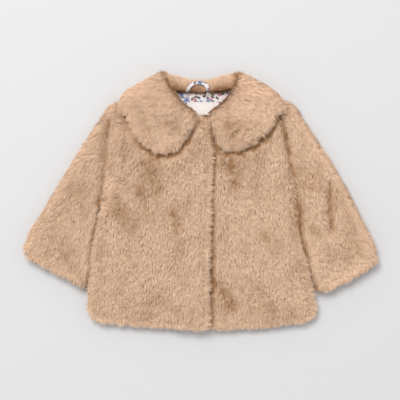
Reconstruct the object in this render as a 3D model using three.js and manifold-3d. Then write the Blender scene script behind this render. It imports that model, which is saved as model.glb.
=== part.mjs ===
// A small child's faux fur coat laid flat on a table, front up, with its sleeves spread.
// Millimetres, +Z up, +Y toward the neck. The origin is on the table under the middle of the coat.
// The wearer's right is at -X. The right front closes over the left one.
import * as THREE from 'three';
import Module from 'manifold-3d';

// Heights above the table, from the lowest layer to the highest
const SEAM_GAP = 0.4;          // clearance between pieces that lie on each other or meet at a seam
const FALL_TOP = 5.2;          // collar where it falls behind the back, pressed by the coat
const BACK_TOP = 10;           // back panel, its pile pressed between the table and the fronts
const UNDERLAP_TOP = 15.4;     // left front where the right one covers it
const PRESSED_TOP = 19.4;      // fronts under the collar
const FRONT_TOP = 23.5;        // fronts with their pile free
const OVERLAP_TOP = 29;        // right front where it lies over the left one
const COLLAR_TOP = 34;         // two thicknesses of fur, face and underside
const SLEEVE_TOP = 24;
const SLEEVE_HOLLOW = 3;       // flattened space between the two walls of a sleeve
const STAND_TOP = 18;          // roll of the collar behind the neck
const STAND_FOOT = 1.2;

// The middle of the outlines below, which the origin is put under
const MIDDLE = { x: 0.2, y: -0.7 };

// Cloth and trim
const SLEEVE_WALL = 9;         // fur cloth at a sleeve's folded edge, pile and backing
const SHOULDER_WALL = 8.5;     // collar where it turns over the shoulder
const SHOULDER_REACH = 12;     // how far in the turn over the shoulder is round
const SHOULDER_FLAT = 14;      // and its inner face is flat from here
const LINING = 1;
const LABEL = { left: -19, right: 26, top: 138.5, bottom: 119.8, thick: 1, curl: 1.2 };
const LOOP = { width: 5, thick: 1.2, clear: 2.4 };
const PRESS_MARGIN = 3;        // pressed pile reaches this far past the piece that presses it
const BACK_PRESS_MARGIN = 9;   // the stiffer back stays up further past the collar's fall
const PRESS_REACH = 14;        // and is back at its full height after this much more

// How far in from an edge the cloth rounds up to its full height
const SLEEVE_ROUND = { fold: 14, cuff: 9, joint: 8 };
const COLLAR_ROUND = 9;
const STAND_ROUND = { fold: 7, seam: 8 };

// Where the closing changes level, as values of x
const LAP_RISE = { from: -62, to: -14 };     // right front rises to lie over the left one
const LAP_FLOOR = { from: -41, to: -28 };    // and its underside leaves the back
const UNDERLAP_END = { from: 22, to: 35 };   // left front comes out from under the right one

// Outlines, seen from above. Each runs through its points as a smooth curve. A sleeve's seamed edge
// lies along the body's side, down to the cuff, which meets it at the share of its length cuffOnSide.
const line = (...points) => new THREE.SplineCurve(points.map(([x, y]) => new THREE.Vector2(x, y)));

const hem = line([-158, -159], [-153, -165], [-142, -169.5], [-106, -176], [-34, -181.5], [12, -183],
  [86, -180.5], [137, -173], [155, -167], [163, -159]);

const right = {
  shoulder: line([-104.5, 134], [-97, 146], [-86, 155], [-59, 170]),
  armhole: line([-106, 113], [-104.5, 88], [-107, 48], [-117.5, 16], [-137.5, -4]),
  side: line([-137.5, -4], [-149, -51], [-156.5, -112], [-160, -146], [-158, -159]),
  neck: line([-59, 170], [-46, 150], [-37, 138], [-31, 124], [-22, 118.5], [0, 118], [15, 111.5]),
  edge: line([12, -183], [13.5, -60], [17.5, 60], [18, 90], [15, 111.5]),
  edgeAtHem: 12,
  sleeveTop: [-113.6, 140],
  outer: line([-113.6, 140], [-123.5, 137], [-133, 129], [-166, 79], [-212, 4], [-243, -49], [-251, -64]),
  cuff: [[-251, -64], [-249, -74], [-238, -85.5], [-184, -115], [-168, -122.5]],
  cuffOnSide: 0.772,
};

const left = {
  shoulder: line([107.5, 132], [98, 144], [84, 154], [59, 170]),
  armhole: line([112, 110], [118, 78], [124.5, 47], [132, 21], [137, -3], [138, -19]),
  side: line([138, -19], [137.5, -42], [142.5, -66], [150.5, -93], [157.5, -124], [164, -146], [163, -159]),
  neck: line([59, 170], [48, 146], [38, 134], [31, 124], [24, 116], [4, 112], [-19, 103]),
  edge: line([-25, -182.1], [-24, -55], [-23, 57], [-19, 103]),
  edgeAtHem: -25,
  sleeveTop: [119, 140.5],
  outer: line([119, 140.5], [128.5, 137.5], [136, 129.5], [158, 96], [200, 29], [230, -30], [248, -71],
    [251.4, -81]),
  cuff: [[251.4, -81], [249, -88], [237, -97.5], [208, -115], [178, -129]],
  cuffOnSide: 0.77,
};

const backNeck = line([-59, 170], [-52, 160], [-38, 154.5], [0, 152.5], [38, 154.5], [52, 160], [59, 170]);

// The collar's halves: shoulder is where each turns over, roll its neck side, rim its free edge
const collarRight = {
  shoulder: line([-57, 182], [-78, 172], [-104, 156], [-112, 141]),
  turnAtRoll: new THREE.Vector2(0.59, -0.81),
  turnAtRim: new THREE.Vector2(0.2, -0.98),
  roll: line([-47.6, 169], [-40, 156], [-22, 134.5], [-4.5, 121]),
  rim: line([-108.5, 126.5], [-93, 91], [-76, 74], [-54, 64], [-31, 71], [-15, 88], [-10, 97]),
  tip: line([-4.5, 121], [-5, 108], [-10, 97]),
};
const collarLeft = {
  shoulder: line([55, 182], [76, 173], [102, 157], [116, 141]),
  turnAtRoll: new THREE.Vector2(-0.22, -0.98),
  turnAtRim: new THREE.Vector2(-0.19, -0.98),
  roll: line([51.4, 166.3], [41, 149], [30, 136], [11, 121]),
  rim: line([113, 127], [97, 97], [85, 86], [67, 73], [50, 69], [31, 71], [20, 81], [15, 95]),
  tip: line([11, 121], [12, 108], [15, 95]),
};
const backRoll = line([-57, 182], [-36, 175], [0, 167], [34, 175], [55, 182]);
const backRim = line([-111.5, 141], [-70, 115], [0, 102], [72, 115], [116, 141]);

// Folds and hollows in the pile: a trough runs from (x, y) to (toX, toY) with a bend beside its middle
const frontFolds = [
  { x: -73, y: 34, toX: -70, toY: 20, bend: 2, deep: 2.2, wide: 13 },
  { x: -112, y: -6, toX: -98, toY: -32, bend: 3, deep: 2.6, wide: 12 },
  { x: -34, y: -8, toX: -30, toY: -36, bend: 2, deep: 1.8, wide: 12 },
  { x: -101, y: -113, toX: -111, toY: -130, bend: 1, deep: 2.4, wide: 7 },
  { x: 34, y: -122, toX: 56, toY: -146, bend: 3, deep: 3.0, wide: 10 },
  { x: 46, y: 46, toX: 52, toY: 30, bend: 1, deep: 2.0, wide: 12 },
  { x: 92, y: -40, toX: 108, toY: -66, bend: -3, deep: 2.2, wide: 12 },
  { x: 96, y: 60, toX: 118, toY: -20, bend: -6, deep: 2.4, wide: 13 },
];
const backFolds = [
  { x: -86, y: 62, toX: -96, toY: -28, bend: 5, deep: 2.6, wide: 13 },
  { x: 92, y: 50, toX: 106, toY: -40, bend: -5, deep: 2.6, wide: 13 },
  { x: -30, y: -70, toX: -44, toY: -140, bend: 4, deep: 2.2, wide: 12 },
  { x: 48, y: -84, toX: 58, toY: -146, bend: -3, deep: 2.2, wide: 12 },
];
const sleeveFolds = {
  right: [
    { x: -130.5, y: 116, toX: -139, toY: -6, bend: 2, deep: 6.5, wide: 6 },
    { x: -176, y: 10, toX: -206, toY: -34, bend: 4, deep: 1.8, wide: 13 },
  ],
  left: [
    { x: 184.5, y: 27, toX: 184.5, toY: -40, bend: -4, deep: 6, wide: 6 },
    { x: 139, y: 44, toX: 160, toY: 36, bend: 2, deep: 3.5, wide: 7 },
    { x: 212, y: -44, toX: 222, toY: -72, bend: 2, deep: 1.6, wide: 12 },
  ],
};
const collarFolds = [
  { x: 33, y: 101, toX: 49, toY: 106, bend: 2, deep: 2.6, wide: 6 },
  { x: 51, y: 104, toX: 69, toY: 109, bend: -2, deep: 2.2, wide: 7 },
  { x: -28, y: 126, toX: -34, toY: 106, bend: 2, deep: 2, wide: 10 },
  { x: -84, y: 124, toX: -72, toY: 104, bend: 2, deep: 1.6, wide: 12 },
];

const materials = {
  fur: { color: '#caa78a', roughness: 0.95, metalness: 0 },
  print: { color: '#d9d3d0', roughness: 0.85, metalness: 0 },
  satin: { color: '#efe8e2', roughness: 0.5, metalness: 0 },
};

// Curves and distances in plan
const CURVE_STEPS = 48;

function samples(curve) {
  return curve.getSpacedPoints(CURVE_STEPS);
}

// The stretch of a curve between two values of x
function stretchAlongX(curve, fromX, toX) {
  const inside = samples(curve).filter((p) => p.x > fromX && p.x < toX);
  const at = (x) => {
    let low = 0;
    let high = 1;
    for (let step = 0; step < 30; step += 1) {
      const middle = (low + high) / 2;
      if (curve.getPointAt(middle).x < x) low = middle;
      else high = middle;
    }
    return curve.getPointAt(low);
  };
  return new THREE.SplineCurve([at(fromX), ...inside, at(toX)]);
}

// Curves end to end as one curve, each over its own share of the whole
function chain(...rows) {
  return {
    getPointAt(u) {
      let start = 0;
      const row = rows.find(({ share }, i) => {
        if (i === rows.length - 1 || u <= start + share) return true;
        start += share;
        return false;
      });
      return row.curve.getPointAt(THREE.MathUtils.clamp((u - start) / row.share, 0, 1));
    },
  };
}

function stretch(curve, from, to) {
  return { getPointAt: (u) => curve.getPointAt(mix(from, to, u)) };
}

function reversed(curve) {
  return new THREE.SplineCurve(samples(curve).reverse());
}

// A curve moved sideways: positive is to the left of its direction
function moved(curve, distance) {
  const points = samples(curve).map((point, i) => {
    const along = curve.getTangentAt(i / CURVE_STEPS);
    return new THREE.Vector2(point.x - along.y * distance, point.y + along.x * distance);
  });
  return new THREE.SplineCurve(points);
}

function distanceTo(points, x, y) {
  let nearest = Infinity;
  for (let i = 1; i < points.length; i += 1) {
    const dx = points[i].x - points[i - 1].x;
    const dy = points[i].y - points[i - 1].y;
    const along = (x - points[i - 1].x) * dx + (y - points[i - 1].y) * dy;
    const t = THREE.MathUtils.clamp(along / Math.max(dx * dx + dy * dy, 1e-9), 0, 1);
    nearest = Math.min(nearest, Math.hypot(points[i - 1].x + t * dx - x, points[i - 1].y + t * dy - y));
  }
  return nearest;
}

function isInside(outline, x, y) {
  let inside = false;
  for (let i = 0, j = outline.length - 1; i < outline.length; j = i, i += 1) {
    const crosses = (outline[i].y > y) !== (outline[j].y > y);
    const edge = outline[j].y - outline[i].y;
    if (crosses && x < outline[i].x + ((outline[j].x - outline[i].x) * (y - outline[i].y)) / edge) {
      inside = !inside;
    }
  }
  return inside;
}

const smooth = (from, to, value) => {
  const t = THREE.MathUtils.clamp((value - from) / (to - from), 0, 1);
  return t * t * (3 - 2 * t);
};
const mix = THREE.MathUtils.lerp;

// A quarter of an ellipse: 0 at an edge, 1 from a distance of reach inward
const rounding = (distance, reach) => {
  const t = THREE.MathUtils.clamp(distance / reach, 0, 1);
  return Math.sqrt(1 - (1 - t) ** 2);
};

// 1 where a piece with this outline presses the pile, 0 where the pile is free
function pressedBy(outline, margin) {
  return (x, y) => {
    const distance = isInside(outline, x, y) ? 0 : distanceTo([...outline, outline[0]], x, y);
    return 1 - smooth(margin, margin + PRESS_REACH, distance);
  };
}

function depthOfFolds(folds) {
  const troughs = folds.map((fold) => {
    const dx = fold.toX - fold.x;
    const dy = fold.toY - fold.y;
    const length = Math.hypot(dx, dy);
    const middle = [fold.x + dx / 2 - (dy / length) * fold.bend, fold.y + dy / 2 + (dx / length) * fold.bend];
    return { ...fold, points: line([fold.x, fold.y], middle, [fold.toX, fold.toY]).getSpacedPoints(8) };
  });
  return (x, y) => troughs.reduce((sum, trough) => {
    const across = distanceTo(trough.points, x, y) / trough.wide;
    return sum + trough.deep * Math.exp(-across * across);
  }, 0);
}

// A surface patch between four curves: low and high run the same way, start and end from low to high
function patch(low, high, start, end) {
  return (u, v) => {
    const a = low.getPointAt(u);
    const b = high.getPointAt(u);
    const c = start.getPointAt(v);
    const d = end.getPointAt(v);
    const blend = (axis) => (1 - v) * a[axis] + v * b[axis] + (1 - u) * c[axis] + u * d[axis]
      - (1 - u) * (1 - v) * low.getPointAt(0)[axis] - u * (1 - v) * low.getPointAt(1)[axis]
      - (1 - u) * v * high.getPointAt(0)[axis] - u * v * high.getPointAt(1)[axis];
    return new THREE.Vector2(blend('x'), blend('y'));
  };
}

// Where the mesh has its lines, as shares of a side: each step divides the way up to its end evenly
function ladder(...steps) {
  const rungs = [0];
  steps.forEach(({ to, count }) => {
    const from = rungs[rungs.length - 1];
    for (let i = 1; i <= count; i += 1) rungs.push(mix(from, to, i / count));
  });
  return rungs;
}

// Closed meshes
function closedMesh(vertices, faces) {
  const volume = faces.reduce((sum, [a, b, c]) => {
    const cross = new THREE.Vector3().crossVectors(vertices[b], vertices[c]);
    return sum + vertices[a].dot(cross);
  }, 0);
  const outward = volume > 0 ? faces : faces.map(([a, b, c]) => [a, c, b]);
  const geometry = new THREE.BufferGeometry();
  const positions = vertices.flatMap((vertex) => vertex.toArray());
  geometry.setAttribute('position', new THREE.Float32BufferAttribute(positions, 3));
  geometry.setIndex(outward.flat());
  geometry.computeVertexNormals();
  return geometry;
}

const quad = (a, b, c, d) => [[a, b, c], [a, c, d]];

// Two matching sheets of points, one over the other, closed along their four sides
function slab(upper, lower) {
  const rows = upper.length;
  const columns = upper[0].length;
  const above = (r, c) => r * columns + c;
  const below = (r, c) => rows * columns + r * columns + c;
  const faces = [];
  for (let r = 0; r < rows - 1; r += 1) {
    for (let c = 0; c < columns - 1; c += 1) {
      faces.push(...quad(above(r, c), above(r, c + 1), above(r + 1, c + 1), above(r + 1, c)));
      faces.push(...quad(below(r, c), below(r + 1, c), below(r + 1, c + 1), below(r, c + 1)));
    }
    faces.push(...quad(above(r, 0), above(r + 1, 0), below(r + 1, 0), below(r, 0)));
    const end = columns - 1;
    faces.push(...quad(above(r, end), below(r, end), below(r + 1, end), above(r + 1, end)));
  }
  for (let c = 0; c < columns - 1; c += 1) {
    faces.push(...quad(above(0, c), below(0, c), below(0, c + 1), above(0, c + 1)));
    const end = rows - 1;
    faces.push(...quad(above(end, c), above(end, c + 1), below(end, c + 1), below(end, c)));
  }
  return closedMesh([...upper.flat(), ...lower.flat()], faces);
}

// A tube open at both ends: rings of points round its outside and round its hollow
function tube(outside, hollow) {
  const stations = outside.length;
  const around = outside[0].length;
  const outer = (s, k) => s * around + (k % around);
  const inner = (s, k) => stations * around + outer(s, k);
  const faces = [];
  for (let k = 0; k < around; k += 1) {
    for (let s = 0; s < stations - 1; s += 1) {
      faces.push(...quad(outer(s, k), outer(s, k + 1), outer(s + 1, k + 1), outer(s + 1, k)));
      faces.push(...quad(inner(s, k), inner(s + 1, k), inner(s + 1, k + 1), inner(s, k + 1)));
    }
    const last = stations - 1;
    faces.push(...quad(outer(0, k), inner(0, k), inner(0, k + 1), outer(0, k + 1)));
    faces.push(...quad(outer(last, k), outer(last, k + 1), inner(last, k + 1), inner(last, k)));
  }
  return closedMesh([...outside.flat(), ...hollow.flat()], faces);
}

// A panel of fur cloth over a patch, with heights worked out at each point of its mesh
function panel(place, acrossLines, upLines, topAt, bottomAt) {
  const sheet = (heightAt) => upLines.map((v) => acrossLines.map((u) => {
    const { x, y } = place(u, v);
    return new THREE.Vector3(x, y, heightAt(x, y));
  }));
  return slab(sheet(topAt), sheet(bottomAt));
}

// How much lower the pile is toward the named edges: rows hold the edge, its reach and its drop
function edgeDrop(rows) {
  const edges = rows.map((row) => ({ ...row, points: samples(row.curve) }));
  return (x, y) => edges.reduce((most, { points, reach, drop }) => {
    return Math.max(most, drop * (1 - rounding(distanceTo(points, x, y), reach)));
  }, 0);
}

// Plan outlines that press the pile of the layers beside them
const outlineOf = (half) => [
  ...samples(half.shoulder), ...samples(half.rim), ...samples(reversed(half.tip)),
  ...samples(reversed(half.roll)),
];
const pressedRight = pressedBy(outlineOf(collarRight), PRESS_MARGIN);
const pressedLeft = pressedBy(outlineOf(collarLeft), PRESS_MARGIN);
const underCollar = (x, y) => Math.max(pressedRight(x, y), pressedLeft(x, y));
const overFall = pressedBy([...samples(backRoll), ...samples(reversed(backRim))], BACK_PRESS_MARGIN);

// Body panels. Their sides have the side seam up to the underarm, the armhole above it, and a short
// way on to the shoulder.
const UNDERARM = 0.5;
const ARMHOLE_END = 0.93;
const bodyLadder = ladder({ to: 0.01, count: 1 }, { to: 0.03, count: 1 }, { to: UNDERARM, count: 9 },
  { to: ARMHOLE_END, count: 8 }, { to: 0.97, count: 1 }, { to: 0.99, count: 1 }, { to: 1, count: 1 });

function sideOf({ side, armhole, shoulder }) {
  const corner = new THREE.SplineCurve([armhole.getPointAt(0), shoulder.getPointAt(0)]);
  return chain(
    { curve: reversed(side), share: UNDERARM },
    { curve: reversed(armhole), share: ARMHOLE_END - UNDERARM },
    { curve: corner, share: 1 - ARMHOLE_END },
  );
}

function makeBack() {
  const shoulderShare = 0.3;
  const top = chain(
    { curve: right.shoulder, share: shoulderShare },
    { curve: backNeck, share: 1 - 2 * shoulderShare },
    { curve: reversed(left.shoulder), share: shoulderShare },
  );
  const across = ladder({ to: 0.009, count: 1 }, { to: 0.028, count: 1 }, { to: shoulderShare, count: 5 },
    { to: 1 - shoulderShare, count: 8 }, { to: 0.972, count: 5 }, { to: 0.991, count: 1 },
    { to: 1, count: 1 });
  const drops = edgeDrop([
    { curve: right.side, reach: 13, drop: 1 },
    { curve: left.side, reach: 13, drop: 1 },
    { curve: hem, reach: 11, drop: 1 },
    { curve: right.armhole, reach: 7, drop: 0.4 },
    { curve: left.armhole, reach: 7, drop: 0.4 },
  ]);
  const folds = depthOfFolds(backFolds);
  const topAt = (x, y) => BACK_TOP - 2.4 * drops(x, y);
  const bottomAt = (x, y) => {
    const raised = (FALL_TOP + SEAM_GAP) * overFall(x, y);
    return Math.max(raised, Math.min(5.5 * drops(x, y) + folds(x, y), BACK_TOP - 3));
  };
  return panel(patch(hem, top, sideOf(right), sideOf(left)), across, bodyLadder, topAt, bottomAt);
}

// The right front's lines from its side seam to its closing edge. The left front has them the other
// way round, from its closing edge to its side seam.
const FRONT_SHOULDER = 0.4;
const frontLadder = ladder({ to: 0.018, count: 1 }, { to: 0.054, count: 1 }, { to: FRONT_SHOULDER, count: 5 },
  { to: 0.93, count: 6 }, { to: 0.98, count: 1 }, { to: 1, count: 1 });

function makeFrontRight() {
  const top = chain(
    { curve: right.shoulder, share: FRONT_SHOULDER },
    { curve: right.neck, share: 1 - FRONT_SHOULDER },
  );
  const bottom = stretchAlongX(hem, -158, right.edgeAtHem);
  const outer = edgeDrop([
    { curve: right.side, reach: 14, drop: 10 },
    { curve: hem, reach: 13, drop: 10 },
    { curve: right.armhole, reach: 8, drop: 5 },
    { curve: right.neck, reach: 8, drop: 3 },
    { curve: right.edge, reach: 10, drop: 7.5 },
  ]);
  const under = edgeDrop([
    { curve: right.edge, reach: 9, drop: 3.6 },
    { curve: right.neck, reach: 6, drop: 1.2 },
    { curve: hem, reach: 9, drop: 1.2 },
  ]);
  const folds = depthOfFolds(frontFolds);
  const topAt = (x, y) => {
    const free = mix(FRONT_TOP, OVERLAP_TOP, smooth(LAP_RISE.from, LAP_RISE.to, x));
    const pile = mix(free - folds(x, y), PRESSED_TOP, underCollar(x, y));
    return Math.min(pile, free - outer(x, y));
  };
  const bottomAt = (x, y) => {
    const raised = mix(BACK_TOP, UNDERLAP_TOP, smooth(LAP_FLOOR.from, LAP_FLOOR.to, x));
    return raised + SEAM_GAP + (1 - underCollar(x, y)) * under(x, y);
  };
  return panel(patch(bottom, top, sideOf(right), right.edge), frontLadder, bodyLadder, topAt, bottomAt);
}

function makeFrontLeft() {
  const top = chain(
    { curve: reversed(left.neck), share: 1 - FRONT_SHOULDER },
    { curve: reversed(left.shoulder), share: FRONT_SHOULDER },
  );
  const bottom = stretchAlongX(hem, left.edgeAtHem, 163);
  const across = frontLadder.map((share) => 1 - share).reverse();
  const outer = edgeDrop([
    { curve: left.side, reach: 14, drop: 10 },
    { curve: hem, reach: 13, drop: 10 },
    { curve: left.armhole, reach: 8, drop: 5.5 },
    { curve: left.neck, reach: 8, drop: 3 },
  ]);
  const covered = edgeDrop([
    { curve: left.edge, reach: 6, drop: 2.4 },
    { curve: hem, reach: 9, drop: 2 },
  ]);
  const folds = depthOfFolds(frontFolds);
  const topAt = (x, y) => {
    const free = mix(FRONT_TOP - folds(x, y), PRESSED_TOP, underCollar(x, y));
    const open = Math.min(free, FRONT_TOP - outer(x, y));
    const hidden = Math.min(UNDERLAP_TOP - covered(x, y), open);
    return mix(hidden, open, smooth(UNDERLAP_END.from, UNDERLAP_END.to, x));
  };
  const bottomAt = () => BACK_TOP + SEAM_GAP;
  return panel(patch(bottom, top, left.edge, sideOf(left)), across, bodyLadder, topAt, bottomAt);
}

// A sleeve is one piece of cloth folded along its outer edge and seamed along the inner one.
// The first CAP_SHARE of its armhole end runs beside the collar. The end stops at SEAM_TURN of the
// armhole seam, and the rest of that seam is the first UNDER_SHARE of the sleeve's inner edge.
const CAP_SHARE = 0.24;
const SEAM_TURN = 0.68;
const UNDER_SHARE = 0.24;
const JOINT_SHARE = 0.55;      // height of a sleeve's upper wall at the armhole, as a share of its crest
const DEEPEST_FOLD = 8;
const LEAST_EDGE = 0.6;        // half of the thinnest that an edge gets

function makeSleeve(side, folds, outwards) {
  const seam = moved(side.armhole, SEAM_GAP * 2 * outwards);
  const cap = line(side.sleeveTop, seam.getPointAt(0).toArray());
  const armhole = chain(
    { curve: cap, share: CAP_SHARE },
    { curve: stretch(seam, 0, SEAM_TURN), share: 1 - CAP_SHARE },
  );
  const seamed = moved(side.side, SEAM_GAP * 2 * outwards);
  const inner = chain(
    { curve: stretch(seam, SEAM_TURN, 1), share: UNDER_SHARE },
    { curve: stretch(seamed, 0, side.cuffOnSide), share: 1 - UNDER_SHARE },
  );
  const cuffCurve = line(...side.cuff, seamed.getPointAt(side.cuffOnSide).toArray());
  const place = patch(armhole, cuffCurve, side.outer, inner);
  const folded = samples(side.outer);
  const cuff = samples(cuffCurve);
  const joint = samples(side.armhole);
  const underarm = samples(seamed);
  const depth = depthOfFolds(folds);
  const middle = BACK_TOP + SLEEVE_HOLLOW / 2;
  const across = ladder({ to: 0.01, count: 1 }, { to: 0.045, count: 1 }, { to: CAP_SHARE, count: 2 },
    { to: 0.955, count: 6 }, { to: 0.99, count: 1 }, { to: 1, count: 1 });
  const along = ladder({ to: 0.02, count: 1 }, { to: UNDER_SHARE, count: 3 }, { to: 0.96, count: 9 },
    { to: 0.985, count: 1 }, { to: 1, count: 1 });

  const heights = (x, y) => {
    const edge = Math.min(distanceTo(folded, x, y), distanceTo(underarm, x, y));
    const round = rounding(edge, SLEEVE_ROUND.fold);
    const cuffRound = rounding(distanceTo(cuff, x, y) + LEAST_EDGE, SLEEVE_ROUND.cuff);
    const jointRound = mix(JOINT_SHARE, 1, rounding(distanceTo(joint, x, y), SLEEVE_ROUND.joint));
    const wallTop = middle + SLEEVE_HOLLOW / 2;
    const crest = mix(middle + 1, SLEEVE_TOP, round) - Math.min(depth(x, y), DEEPEST_FOLD) * round;
    const wallMiddle = (wallTop + crest) / 2;
    const floorMiddle = BACK_TOP / 2;
    return {
      top: mix(wallMiddle, crest, Math.min(cuffRound, jointRound)),
      bottom: mix(middle - 1, mix(floorMiddle, 0, cuffRound), round),
      hollowTop: mix(wallMiddle - LEAST_EDGE, wallTop, cuffRound),
      hollowBottom: mix(floorMiddle + LEAST_EDGE, BACK_TOP, cuffRound),
    };
  };
  const outside = [];
  const hollow = [];
  along.forEach((v) => {
    const width = place(0, v).distanceTo(place(1, v));
    const inset = SLEEVE_WALL / width;
    const rings = { top: [], bottom: [], hollowTop: [], hollowBottom: [] };
    across.forEach((u, i) => {
      const atEnd = i === 0 || i === across.length - 1;
      const outerPoint = place(u, v);
      const innerPoint = place(mix(inset, 1 - inset, u), v);
      const outerHeights = heights(outerPoint.x, outerPoint.y);
      const innerHeights = heights(innerPoint.x, innerPoint.y);
      const at = (point, z) => new THREE.Vector3(point.x, point.y, z);
      rings.top.push(at(outerPoint, atEnd ? middle : outerHeights.top));
      rings.hollowTop.push(at(innerPoint, atEnd ? middle : innerHeights.hollowTop));
      if (!atEnd) {
        rings.bottom.unshift(at(outerPoint, outerHeights.bottom));
        rings.hollowBottom.unshift(at(innerPoint, innerHeights.hollowBottom));
      }
    });
    outside.push([...rings.top, ...rings.bottom]);
    hollow.push([...rings.hollowTop, ...rings.hollowBottom]);
  });
  return tube(outside, hollow);
}

// Collar: one piece that lies on the fronts, turns over each shoulder and falls behind the back.
// Its turn over a shoulder, as rows from the front side round to the back side:
// how far in from the shoulder and how high the outer face and the inner face are.
const shoulderTurn = [
  { outIn: SHOULDER_REACH, out: COLLAR_TOP, inIn: SHOULDER_FLAT, in: PRESSED_TOP + SEAM_GAP },
  { outIn: 5.4, out: 31.2, inIn: 10.2, in: PRESSED_TOP },
  { outIn: 1.4, out: 25.2, inIn: SHOULDER_WALL, in: 17 },
  { outIn: 0, out: 16.5, inIn: SHOULDER_WALL, in: 12.5 },
  { outIn: 1.6, out: 7.6, inIn: SHOULDER_WALL, in: 8 },
  { outIn: 5.6, out: 2, inIn: 10.2, in: FALL_TOP + SEAM_GAP },
  { outIn: SHOULDER_REACH, out: 0, inIn: SHOULDER_FLAT, in: FALL_TOP },
];
const FRONT_RUN = 90;          // along a front half of the collar, from the shoulder to the tip
const RIM_SHARE = 0.12;        // thickness left at the collar's rim

function makeCollar(wasm) {
  const rowLines = ladder({ to: 0.018, count: 1 }, { to: 0.06, count: 1 }, { to: 0.94, count: 6 },
    { to: 0.982, count: 1 }, { to: 1, count: 1 });
  const folds = depthOfFolds(collarFolds);
  const flatFrom = (half) => {
    return new THREE.SplineCurve(rowLines.map((t) => inFromShoulder(half, t, SHOULDER_FLAT)));
  };

  const frontStations = (half) => {
    const place = patch(half.roll, half.rim, flatFrom(half), half.tip);
    const shares = [0.14, 0.28, 0.42, 0.56, 0.68, 0.78, 0.86, 0.92, 0.965, 0.99, 1];
    return shares.map((share) => rowLines.map((t) => {
      const point = place(share, t);
      const tipRound = rounding((1 - share) * FRONT_RUN, COLLAR_ROUND);
      const top = COLLAR_TOP - folds(point.x, point.y);
      return facing(point, top, point, PRESSED_TOP + SEAM_GAP, tipRound);
    }));
  };
  const turnStations = (half) => shoulderTurn.map((row) => rowLines.map((t) => {
    return facing(inFromShoulder(half, t, row.outIn), row.out, inFromShoulder(half, t, row.inIn), row.in, 1);
  }));
  const turnAtRight = flatFrom(collarRight);
  const turnAtLeft = flatFrom(collarLeft);
  const trimmed = (curve, from, to) => {
    const middle = samples(curve).slice(5, -5);
    return new THREE.SplineCurve([from, ...middle, to]);
  };
  const roll = trimmed(backRoll, turnAtRight.getPointAt(0), turnAtLeft.getPointAt(0));
  const rim = trimmed(backRim, turnAtRight.getPointAt(1), turnAtLeft.getPointAt(1));
  const fall = patch(roll, rim, turnAtRight, turnAtLeft);
  const fallShares = [0.08, 0.18, 0.3, 0.4, 0.5, 0.6, 0.7, 0.82, 0.92];
  const fallStations = fallShares.map((share) => rowLines.map((t) => {
    const point = fall(share, t);
    return facing(point, 0, point, FALL_TOP, 1);
  }));

  const stations = [
    ...frontStations(collarRight).reverse(),
    ...turnStations(collarRight),
    ...fallStations,
    ...turnStations(collarLeft).reverse(),
    ...frontStations(collarLeft),
  ];
  stations.forEach(roundTheEdges);
  const face = (side) => stations.map((row) => row.map((p) => p[side]));
  return joinedSolids(wasm, slab(face('outer'), face('inner')), makeStand());
}

function inFromShoulder(half, t, distance) {
  const point = half.shoulder.getPointAt(t);
  const direction = half.turnAtRoll.clone().lerp(half.turnAtRim, t).normalize();
  return point.clone().addScaledVector(direction, distance);
}

// Two points that face each other through the collar. Share is what is left of its thickness there.
function facing(outerPoint, outerZ, innerPoint, innerZ, share) {
  const outer = new THREE.Vector3(outerPoint.x, outerPoint.y, outerZ);
  const inner = new THREE.Vector3(innerPoint.x, innerPoint.y, innerZ);
  return { outer, inner, share };
}

// Brings the two faces of a station together toward its ends, as a stuffed edge does
function roundTheEdges(station) {
  const middles = station.map((p) => p.outer.clone().lerp(p.inner, 0.5));
  const run = [0];
  for (let i = 1; i < middles.length; i += 1) run.push(run[i - 1] + middles[i].distanceTo(middles[i - 1]));
  const whole = run[run.length - 1];
  station.forEach((p, i) => {
    const toEdge = Math.min(run[i], whole - run[i]);
    const share = Math.max(RIM_SHARE, Math.min(p.share, rounding(toEdge, COLLAR_ROUND)));
    p.outer.lerpVectors(middles[i], p.outer, share);
    p.inner.lerpVectors(middles[i], p.inner, share);
  });
}

// The roll behind the neck, from the collar's fold down to the neck seam. Its ends are in the turns
// over the shoulders, and its fold covers the upper edge of the fall.
function makeStand() {
  const seam = line([-60, 173.6], [-51.5, 162.8], [-38, 155.4], [0, 153.4], [38, 155.4], [51.5, 162.8],
    [58.5, 173.6]);
  const fold = line([-56.5, 180.4], [-36, 175.4], [0, 168], [34, 175.4], [55, 180.4]);
  const endAt = (u) => new THREE.SplineCurve([seam.getPointAt(u), fold.getPointAt(u)]);
  const place = patch(seam, fold, endAt(0), endAt(1));
  const foldPoints = samples(fold);
  const seamPoints = samples(seam);
  const topAt = (x, y) => {
    const atFold = rounding(distanceTo(foldPoints, x, y) + LEAST_EDGE, STAND_ROUND.fold);
    const atSeam = rounding(distanceTo(seamPoints, x, y) + LEAST_EDGE, STAND_ROUND.seam);
    return Math.min(mix(5, STAND_TOP, atFold), mix(11.5, STAND_TOP, atSeam));
  };
  const across = ladder({ to: 0.03, count: 1 }, { to: 0.97, count: 12 }, { to: 1, count: 1 });
  return panel(place, across, [0, 0.12, 0.3, 0.55, 0.78, 0.92, 1], topAt, () => STAND_FOOT);
}

function joinedSolids(wasm, first, second) {
  const solidOf = (geometry) => new wasm.Manifold(new wasm.Mesh({
    numProp: 3,
    vertProperties: new Float32Array(geometry.getAttribute('position').array),
    triVerts: new Uint32Array(geometry.getIndex().array),
  }));
  const whole = solidOf(first).add(solidOf(second)).getMesh();
  const geometry = new THREE.BufferGeometry();
  geometry.setAttribute('position', new THREE.Float32BufferAttribute(whole.vertProperties, 3));
  geometry.setIndex(Array.from(whole.triVerts));
  geometry.computeVertexNormals();
  return geometry;
}

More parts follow.
